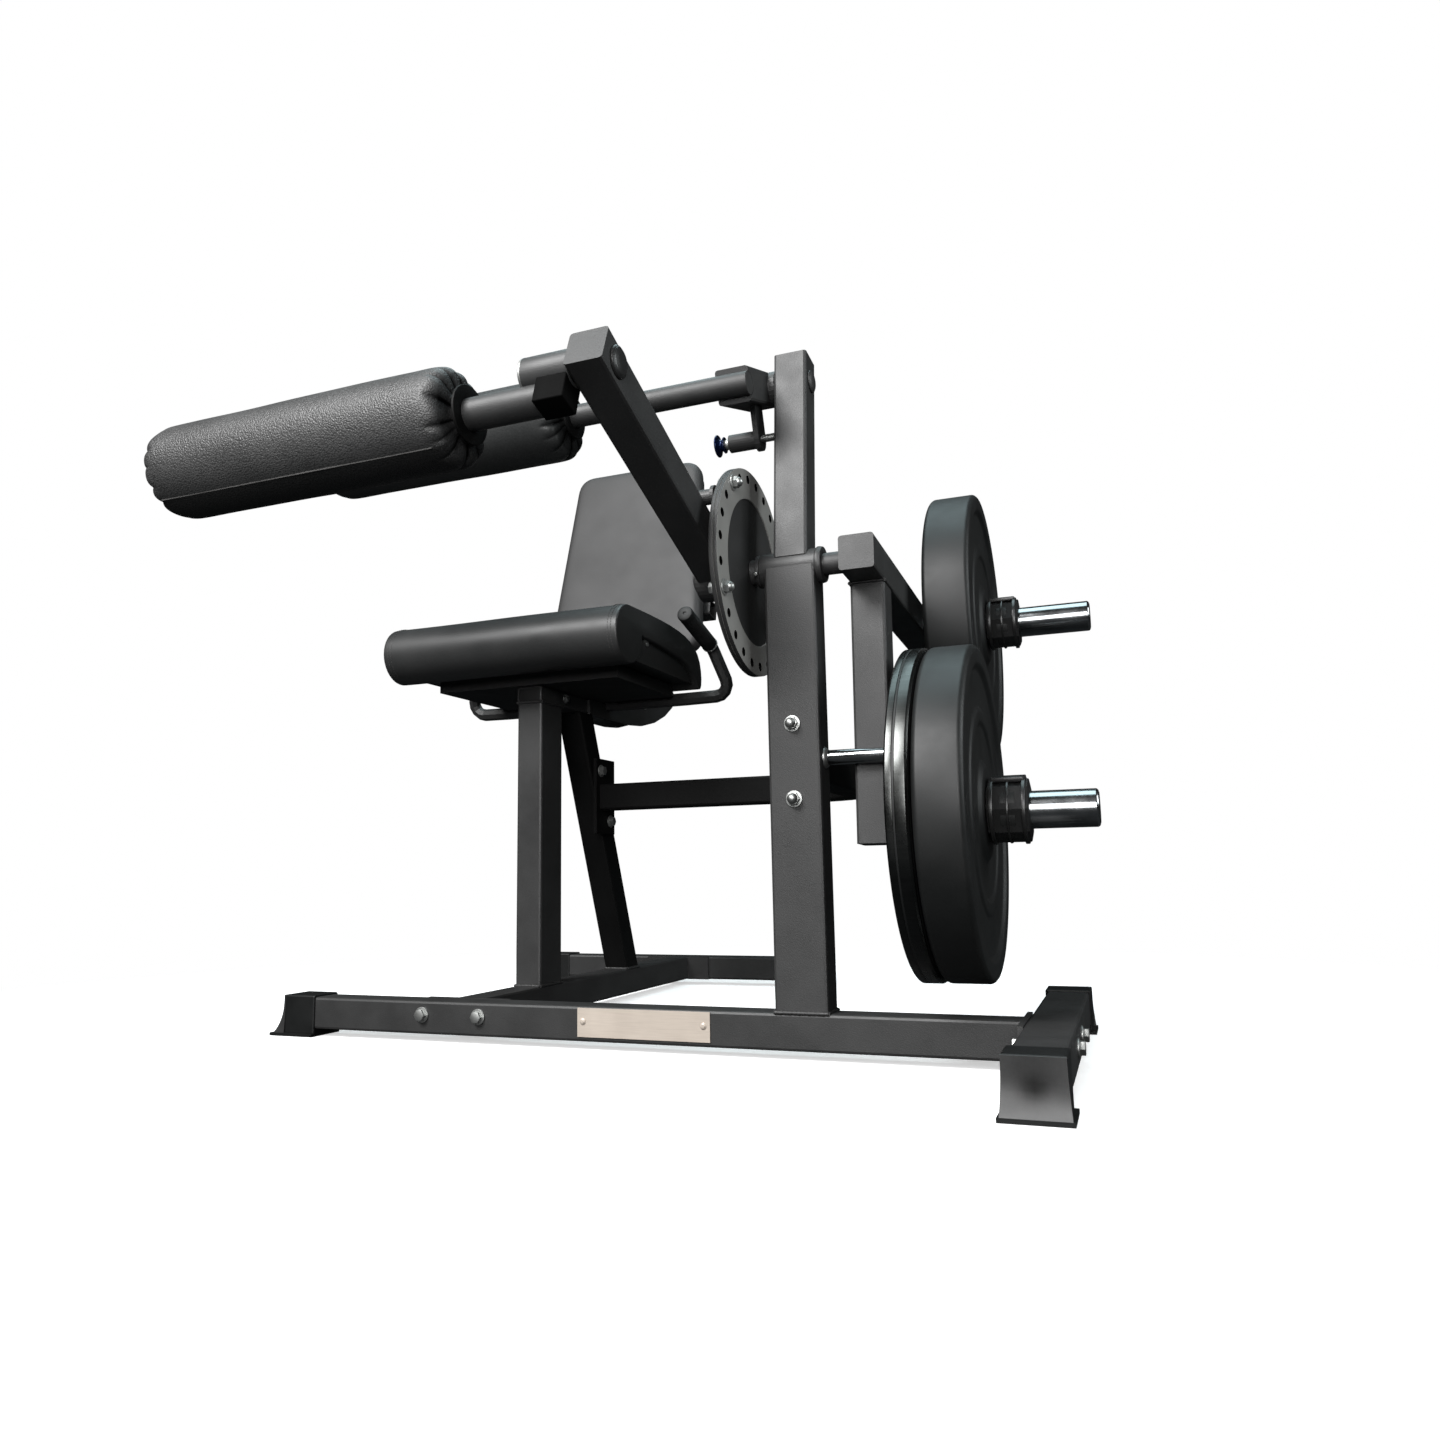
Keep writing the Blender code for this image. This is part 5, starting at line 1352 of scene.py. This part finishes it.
    def horn(self, name: str, spot: Spot, end: float) -> None:
        """Spin one chrome sleeve with its end cap and weld collar.

        Args:
            name: The CAD node that it replaces.
            spot: Its Y and Z.
            end: X of its free end.
        """
        r = self.horn_radius
        start = self.horn_start
        sleeve = [(start, 0.0), (start, r), (end - 3.0, r), (end - 0.6, r - 2.4), (end - 0.6, 0.0)]
        finish_piece(name + "_sleeve", turned_x(spot, eased(sleeve, 1.2, 4), 96), CHROME, "weight_frame",
                     (name,))
        cap = [(end - 4.0, 0.0), (end - 4.0, 21.6), (end, 20.6), (end, 0.0)]
        finish_piece(name + "_cap", turned_x(spot, eased(cap)), PLASTIC, "weight_frame")
        root = [(start - 4.7, 0.0), (start - 4.7, 30.5), (start - 2.0, 29.5), (start + 1.5, 26.0),
                (start + 2.0, 25.2), (start + 2.0, 0.0)]
        finish_piece(name + "_weld", turned_x(spot, eased(root, 0.6), 72), POWDER, "weight_frame")

    def shaft(self) -> None:
        """Spin the main shaft, its collar and the collar's screws."""
        spot = (Geometry.SHAFT_Y, Geometry.SHAFT_Z)
        shaft = [(-112.0, 0.0), (-112.0, 21.0), (-105.4, 21.0), (-105.4, 16.0), (113.7, 16.0), (113.7, 0.0)]
        finish_piece("main_shaft_turned", turned_x(spot, eased(shaft), 72), POWDER, "weight_frame",
                     ("main_shaft",))
        collar = [(-24.6, 16.3), (-24.6, 19.0), (-14.6, 18.0), (-14.6, 24.0), (-8.7, 24.0), (-8.7, 16.3)]
        finish_piece("shaft_collar_turned", turned_x(spot, eased(collar, 0.9), 72), POWDER, "weight_frame",
                     ("shaft_collar",))
        screw_x = -11.6
        heads = []
        for degrees in (112.0, -20.0):
            foot = Geometry.disc_point(screw_x, degrees, 23.4)
            way = (foot - at(screw_x, *spot)).normalized()
            heads.append(turned(foot, way, eased([(0.0, 0.0), (0.0, 2.8), (6.0, 2.8), (6.0, 0.0)], 0.6), 20))
        finish_piece("collar_screws", merged(heads), ZINC, "weight_frame")

    def stop_bolts(self) -> None:
        """Build the two stop bolts with acorn nuts through the disc."""
        for name, degrees in (("upper", 52.5), ("lower", -22.5)):
            nut = Fastener(Geometry.disc_point(self.disc_right, degrees), RIGHT, 8.6, 7.0, True, 11.6)
            head = Fastener(Geometry.disc_point(self.disc_left, degrees), -RIGHT, 8.6, 6.0, False, 11.6)
            shank = bar(Geometry.disc_point(self.disc_left - 1.0, degrees),
                        Geometry.disc_point(self.disc_right + 1.0, degrees), 5.8, 20)
            whole = merged([nut.shape(), head.shape(), shank])
            finish_piece("stop_bolt_" + name, whole, ZINC, "weight_frame",
                         ("disc_stop_bolt_" + name,), 28.0)

    def build(self) -> None:
        """Build the whole swinging weight side."""
        self.disc()
        self.plates()
        low = Geometry.lower_horn()
        high = Geometry.upper_horn()
        self.clamp("lower_clamp_collar", low, 290.8, 344.0, 42.0, "lower_load")
        self.clamp("upper_clamp_collar", high, 259.8, 312.0, 41.0, "upper_load")
        self.horn("upper_horn", high, 426.0)
        self.horn("lower_horn", low, 430.0)
        self.shaft()
        self.stop_bolts()


@dataclass
class TurnedSet:
    """Round pieces of the frame and arms, each spun from its profile of X and radius."""

    steps: int = 72
    bearing_bore: float = 16.1
    housing_bore: float = 21.0
    near_end: float = -729.0
    far_end: float = -733.0
    washer_thick: float = 3.5
    sleeve_forward: float = 8.0
    sleeve_below: float = 1.0

    def one(self, name: str, spot: Spot, profile: Profile, look: Finish, body: str,
            stands_for: tuple[str, ...] = (), ease: float = 0.9) -> None:
        """Spin one piece along X and dress it.

        Args:
            name: The piece's name.
            spot: Y and Z of its axis.
            profile: Points of X and radius.
            look: Its finish.
            body: The body that it moves with.
            stands_for: CAD nodes that it replaces.
            ease: Rounding of its corners.
        """
        finish_piece(name, turned_x(spot, eased(profile, ease), self.steps), look, body, stands_for)

    def housing(self) -> None:
        """Spin the bearing housing and its two bearings."""
        shaft = (Geometry.SHAFT_Y, Geometry.SHAFT_Z)
        bore = self.housing_bore
        self.one("housing_tube", shaft, [
            (-8.0, bore), (-8.0, 25.0), (75.0, 25.0), (76.2, 26.4), (79.0, 26.6), (84.0, 25.5), (84.0, 16.5),
            (75.0, 16.5), (75.0, bore)], POWDER, "frame", ("bearing_housing",))
        for name, x0, x1 in (("left", -8.0, 8.0), ("right", 58.5, 74.7)):
            self.one("bearing_" + name, shaft, ring_profile(x0, x1, self.bearing_bore, bore - 0.3), BEARING,
                     "frame", ("shaft_bearing_" + name,))

    def stop_rod(self) -> None:
        """Spin the chrome rod that the pendulum comes to rest on, and its weld ring."""
        spot = (27.0, 407.0)
        start, end = 75.3, 190.0
        self.one("stop_rod_bar", spot, [
            (start, 0.0), (start, 10.6), (end - 1.0, 10.6), (end, 9.6), (end, 0.0)], CHROME, "frame",
            ("stop_rod",), 1.2)
        self.one("stop_rod_weld", spot, [
            (start, 0.0), (start, 15.0), (78.0, 14.0), (81.0, 11.2), (81.0, 0.0)], ZINC, "frame")

    def washers(self, name: str, spot: Spot, body: str, radius: float,
                places: tuple[tuple[str, float, float], ...]) -> None:
        """Set the washers at a roller's two ends.

        Args:
            name: Which roller's they are.
            spot: Y and Z of the roller's bar.
            body: The body that they move with.
            radius: Their outer radius.
            places: For each its side, the X of its left face and its bore.
        """
        # The washers take the darker copy of the coat as painted shade in the gathers
        for side, x0, bore in places:
            self.one(name + "_washer_" + side, spot, ring_profile(x0, x0 + self.washer_thick, bore, radius),
                     POWDER_PAINTED_SHADE, body)

    def near_link(self) -> None:
        """Spin the roller link's sleeve with its bright rim, and the near roller's bar with its washers."""
        pivot_y, pivot_z = Geometry.arm_pivot()
        spot = (pivot_y - self.sleeve_forward, pivot_z - self.sleeve_below)
        self.one("link_sleeve", spot, ring_profile(-165.0, -100.3, 18.5, 23.5), POWDER, "roller_swing",
                 ("roller_link",), 1.2)
        self.one("sleeve_rim", spot, [(-165.8, 18.7), (-165.8, 23.3), (-162.6, 23.8), (-162.6, 18.7)], ZINC,
                 "roller_swing", (), 0.3)
        near = Geometry.near_bar()
        end = self.near_end
        self.one("near_roller_bar", near, [
            (-131.0, 0.0), (-131.0, 20.0), (end, 20.0), (end, 18.0), (-140.0, 18.0), (-140.0, 0.0)], POWDER,
            "roller_swing")
        self.washers("near", near, "roller_swing", 36.5, (("right", -246.5, 20.1), ("left", end, 17.9)))

    def far_link(self) -> None:
        """Spin the far roller's bar with its washers."""
        far = Geometry.far_bar()
        end = self.far_end
        self.one("far_roller_bar", far, [
            (4.0, 0.0), (4.0, 17.0), (end, 17.0), (end, 14.0), (1.0, 14.0), (1.0, 0.0)], POWDER, "hold_down",
            ("hold_down_bar",))
        self.washers("far", far, "hold_down", 33.0, (("right", -280.5, 17.1), ("left", end, 13.9)))

    def pivots(self) -> None:
        """Spin the lever arm's end pin and cap, and the bolt that the hold-down link turns on."""
        pivot = Geometry.arm_pivot()
        self.one("arm_pin_head", pivot, [
            (-177.0, 0.0), (-177.0, 7.0), (-172.5, 8.0), (-172.5, 12.5), (-169.4, 12.5), (-169.4, 10.0),
            (-49.6, 10.0), (-49.6, 19.0), (-47.4, 19.0), (-44.8, 15.0), (-43.8, 9.0), (-43.6, 0.0)], ZINC,
            "lever", ("arm_pivot_pin",))
        self.one("arm_cap", pivot, [
            (-49.9, 0.0), (-49.9, 19.6), (-47.0, 19.6), (-44.4, 15.4), (-43.2, 9.0), (-43.0, 0.0)], PLASTIC,
            "lever")
        self.one("hold_pivot_bolt", (Geometry.PIVOT_Y, Geometry.PIVOT_Z), [
            (-56.0, 0.0), (-55.0, 9.5), (-49.0, 9.5), (-49.0, 17.0), (-46.3, 17.0), (-46.3, 10.0),
            (64.3, 10.0), (64.3, 16.5), (66.5, 16.5), (69.0, 12.0), (70.0, 6.0), (70.0, 0.0)], POWDER,
            "frame", ("hold_down_pivot_pin",))

    def pull_pins(self) -> None:
        """Spin the two pull pins with their necks and blue knobs."""
        hold = Geometry.hold_pin()
        thread = [(-8.0 + 0.9 * step, 6.0 if step % 2 else 5.1) for step in range(23)]
        neck = [(-68.0, 0.0), (-68.0, 7.2), (-65.0, 8.0), (-60.4, 8.0), (-60.4, 6.0)]
        self.one("hold_pin_neck", hold, neck + thread + [(13.7, 5.0), (13.7, 0.0)], ZINC, "hold_down_pin",
                 ("hold_down_pull_pin",), 0.2)
        self.one("hold_pin_knob", hold, [
            (-82.0, 0.0), (-82.0, 15.0), (-80.6, 17.0), (-78.6, 16.8), (-77.0, 11.0), (-74.5, 8.6),
            (-71.5, 9.0), (-70.0, 12.4), (-68.4, 12.4), (-68.4, 0.0)], ANODISED, "hold_down_pin",
            ("hold_down_knob",), 1.4)
        index = Geometry.index_pin()
        self.one("index_pin_neck", index, [
            (-98.0, 0.0), (-98.0, 8.0), (-92.9, 9.0), (-92.9, 6.0), (-36.8, 6.0), (-35.3, 5.0),
            (-35.3, 0.0)], ZINC, "arm_pin", ("arm_pull_pin",))
        self.one("index_pin_knob", index, [
            (-123.0, 0.0), (-123.0, 9.0), (-121.0, 13.0), (-114.0, 14.0), (-104.0, 12.5), (-98.4, 9.5),
            (-98.4, 0.0)], ANODISED, "arm_pin", (), 1.4)

    def build(self) -> None:
        """Build the housing, rods, bars, sleeve, pins and caps."""
        self.housing()
        self.stop_rod()
        self.near_link()
        self.far_link()
        self.pivots()
        self.pull_pins()


@dataclass
class FrameDressing:
    """Materials for the CAD tubes, and the fasteners, welds, boot ends and plug that sit on them."""

    looks: dict[str, Finish] = field(default_factory=lambda: {
        COATED: POWDER, "black_plastic": BOOT, "brushed_plate": BRUSHED, "bearing_steel": BEARING,
        "chrome": CHROME, "plate_iron": RUBBER, "zinc": ZINC, "plywood": PLYWOOD, "black_vinyl": SEAT_VINYL,
        "roller_vinyl": ROLLER_VINYL, "bumper_rubber": RUBBER, "grip_rubber": GRIP, "blue_knob": ANODISED})
    # Nodes that get the darker copy of the coat as painted shade
    shade_painted_nodes: tuple[str, ...] = ("upright_link_tube", "rear_seat_post")
    weld_z: float = 62.6
    seat_weld_z: float = 560.2
    tube_half: float = 25.0
    beam_end_x: float = 139.0
    boot_foot: float = 4.8
    boot_top: float = 64.8
    boot_skin: float = 2.4

    def paint(self, frame: dict) -> None:
        """Give every CAD node the finish of its slot, and the low tubes behind the seat a darker copy of the
        coat as painted shade.

        Args:
            frame: What the frame's loading returned.
        """
        slots = {row["node"]: row["material_slot"] for row in frame["record"]["subparts"]}
        for name, obj in frame["nodes"].items():
            look = POWDER_PAINTED_SHADE if name in self.shade_painted_nodes else self.looks[slots[name]]
            obj.data.materials.clear()
            obj.data.materials.append(look.material())

    def flange_bolts(self) -> None:
        """Set washered bolt heads over the plain ones of the flanges."""
        heads = []
        for x in (SEAT_X - 50.0, SEAT_X + 52.0):
            heads.append(Fastener(at(x, 2.0, 41.0), -BACK))
            heads.append(Fastener(at(x, 942.0, 41.0), BACK))
        for y in (-25.5, 79.5):
            heads.append(Fastener(at(388.0, y, 37.0), RIGHT))
            heads.append(Fastener(at(322.0, y, 37.0), -RIGHT))
        for y, z in ((302.8, 575.0), (566.7, 603.0), (650.0, 611.0)):
            heads.append(Fastener(at(-492.4, y, z), RIGHT, 6.4, 5.0, False, 9.0))
        for y, z in ((243.9, 655.3), (252.0, 650.0)):
            heads.append(Fastener(at(-310.0, y, z), RIGHT, 5.4, 9.0, False, 7.0))
        for z in (355.0, 452.0):
            heads.append(Fastener(at(-492.0, 465.0 + 0.402 * (401.0 - z), z), RIGHT))
        whole = merged([head.shape() for head in heads])
        finish_piece("flange_bolts", whole, ZINC, "frame", (), 28.0)

    def through_bolts(self) -> None:
        """Build the two bolts with acorn nuts that go through the lower upright."""
        x = UPRIGHT_X - 1.0
        for name, z in (("lower", 350.0), ("upper", 455.0)):
            nut = Fastener(at(x, 2.0, z), -BACK, 9.4, 7.6, True, 11.6)
            head = Fastener(at(x, 59.0, z), BACK, 9.4, 7.0, False, 13.0)
            shank = bar(at(x, 1.0, z), at(x, 60.0, z), 5.8, 20)
            finish_piece("upright_through_bolt_" + name, merged([nut.shape(), head.shape(), shank]), ZINC,
                         "frame", ("upright_bolt_" + name,), 28.0)

    def welds(self) -> None:
        """Run weld beads round the feet of the posts and along the joints of the swinging frame."""
        box = [(-1.0, -1.0), (1.0, -1.0), (1.0, 1.0), (-1.0, 1.0), (-1.0, -1.0)]
        fixed = []
        for x, y, z, half_x, half_y in ((UPRIGHT_X, Geometry.SHAFT_Y, self.weld_z, 37.5, self.tube_half),
                                        (SEAT_X, 267.5, self.weld_z, self.tube_half, 37.5),
                                        (SEAT_X, 599.0, self.weld_z, self.tube_half, 27.0),
                                        (SEAT_X, 267.5, self.seat_weld_z, self.tube_half, 37.5)):
            fixed.append(weld([at(x + half_x * u, y + half_y * v, z) for u, v in box]))
        finish_piece("frame_welds", merged(fixed), POWDER, "frame", (), 60.0)
        top = at(self.beam_end_x, *Geometry.pendulum())
        rise, run = math.sin(Geometry.TILT), math.cos(Geometry.TILT)
        along = Vector((0.0, run, -rise)) * self.tube_half * MM
        down = Vector((0.0, -rise, -run)) * (self.tube_half + 0.2) * MM
        across = RIGHT * self.tube_half * MM
        loop = weld([top + down + across * u + along * v for u, v in box])
        finish_piece("beam_weld", loop, POWDER, "weight_frame", (), 60.0)

    def boot_face(self, name: str, foot: Vector, outward: Vector, half: float, reach: float) -> None:
        """Fair a boot's end into its foot plate with a dished, flared face, with painted shade at the middle
        of the dish.

        Args:
            name: The piece's name.
            foot: World point at the middle of the boot's end, on the floor.
            outward: The way the end faces.
            half: Half the boot's width in millimetres.
            reach: How far the flare comes forward at its foot.
        """
        across = Vector((-outward.y, outward.x, 0.0))
        rings = []
        shades = []
        for level in (self.boot_foot, 6.0, 9.0, 13.0, 18.0, 24.0, 31.0, 38.0, 45.0, 52.0, 58.0, 62.0, 64.0,
                      self.boot_top):
            part = (self.boot_top - level) / (self.boot_top - self.boot_foot)
            front = self.boot_skin + (reach - self.boot_skin) * part ** 3.2 - (1.6 if level > 64.5 else 0.0)
            wide = half - 0.6 + 3.0 * part ** 2
            ring = [(across * side - outward * 0.8) * MM for side in (-wide, wide)]
            shades += [0.0, 0.0]
            for step in range(9):
                u = 1.0 - step / 4.0
                dish = 1.7 * (1.0 - u ** 4) * math.sin(math.pi * part)
                ring.append((across * (u * wide) + outward * (front - dish)) * MM)
                # Painted shade, darkest at the middle of the dish
                shades.append(0.8 * math.exp(-((u / 0.55) ** 2 + ((level - 33.0) / 15.0) ** 2)))
            rings.append([foot + point + UP * (level * MM) for point in ring])
        bm = loft(rings)
        dark = bm.verts.layers.float.new("crease_and_painted_shade")
        bm.verts.ensure_lookup_table()
        for vert, shade in zip(bm.verts, shades):
            vert[dark] = shade
        finish_piece(name, bm, BOOT_FACE_LIT, "frame", (), 50.0)

    def boot_faces(self) -> None:
        """Fair the ends of all five boots."""
        self.boot_face("cross_boot_face_front", at(358.0, -262.0, 0.0), -BACK, 33.0, 11.5)
        self.boot_face("cross_boot_face_rear", at(358.0, 402.0, 0.0), BACK, 33.0, 11.5)
        self.boot_face("rail_boot_face", at(-842.0, Geometry.SHAFT_Y, 0.0), -RIGHT, 28.0, 20.0)
        self.boot_face("rear_boot_face_left", at(-864.0, 917.0, 0.0), -RIGHT, 28.0, 11.0)
        self.boot_face("rear_boot_face_right", at(-184.0, 917.0, 0.0), RIGHT, 28.0, 11.0)

    def link_block(self) -> None:
        """Fill the web between the link's sleeve and the near roller's bar; its near-black finish is painted
        shade.
        """
        right_side = -101.0
        wide = 41.0
        past = 21.0
        start = at(right_side, *Geometry.arm_pivot())
        axis = at(right_side, *Geometry.near_bar()) - start
        length = axis.length / MM + past
        bm = block((wide, 36.0, length), 2.0)
        bmesh.ops.translate(bm, vec=(-21.0 * MM, 5.0 * MM, length / 2 * MM), verts=bm.verts[:])
        bm.transform(aim(start, axis, RIGHT))
        finish_piece("link_block", bm, SHADE_BLACK, "roller_swing")

    def plug(self) -> None:
        """Close the seat frame's front end with a plastic plug."""
        bm = block((45.0, 5.0, 23.4), 1.2)
        bmesh.ops.translate(bm, vec=at(SEAT_X, 233.0, 574.3), verts=bm.verts[:])
        finish_piece("seat_frame_plug", bm, PLASTIC, "frame")

    def build(self, frame: dict) -> None:
        """Dress the frame.

        Args:
            frame: What the frame's loading returned.
        """
        self.paint(frame)
        self.flange_bolts()
        self.through_bolts()
        self.welds()
        self.link_block()
        self.boot_faces()
        self.plug()


def main() -> None:
    """Load the frame, build each sub-assembly and the studio."""
    logging.basicConfig(level=logging.INFO)
    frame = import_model()
    Studio().build()
    FrameDressing().build(frame)
    TurnedSet().build()
    WeightStack().build()
    Pads().build()
    # The near roller gets painted shade on its lower panel
    FoamRoller("near_roller", Geometry.near_bar(), -719.0, -256.0, 21.0, "near_roller_body", ROLLER_VINYL,
               seamed=True, panel=0.6).build()
    FoamRoller("far_roller", Geometry.far_bar(), -726.5, -290.0, 17.0, "far_roller_body", FAR_VINYL).build()


if __name__ == "__main__":
    main()
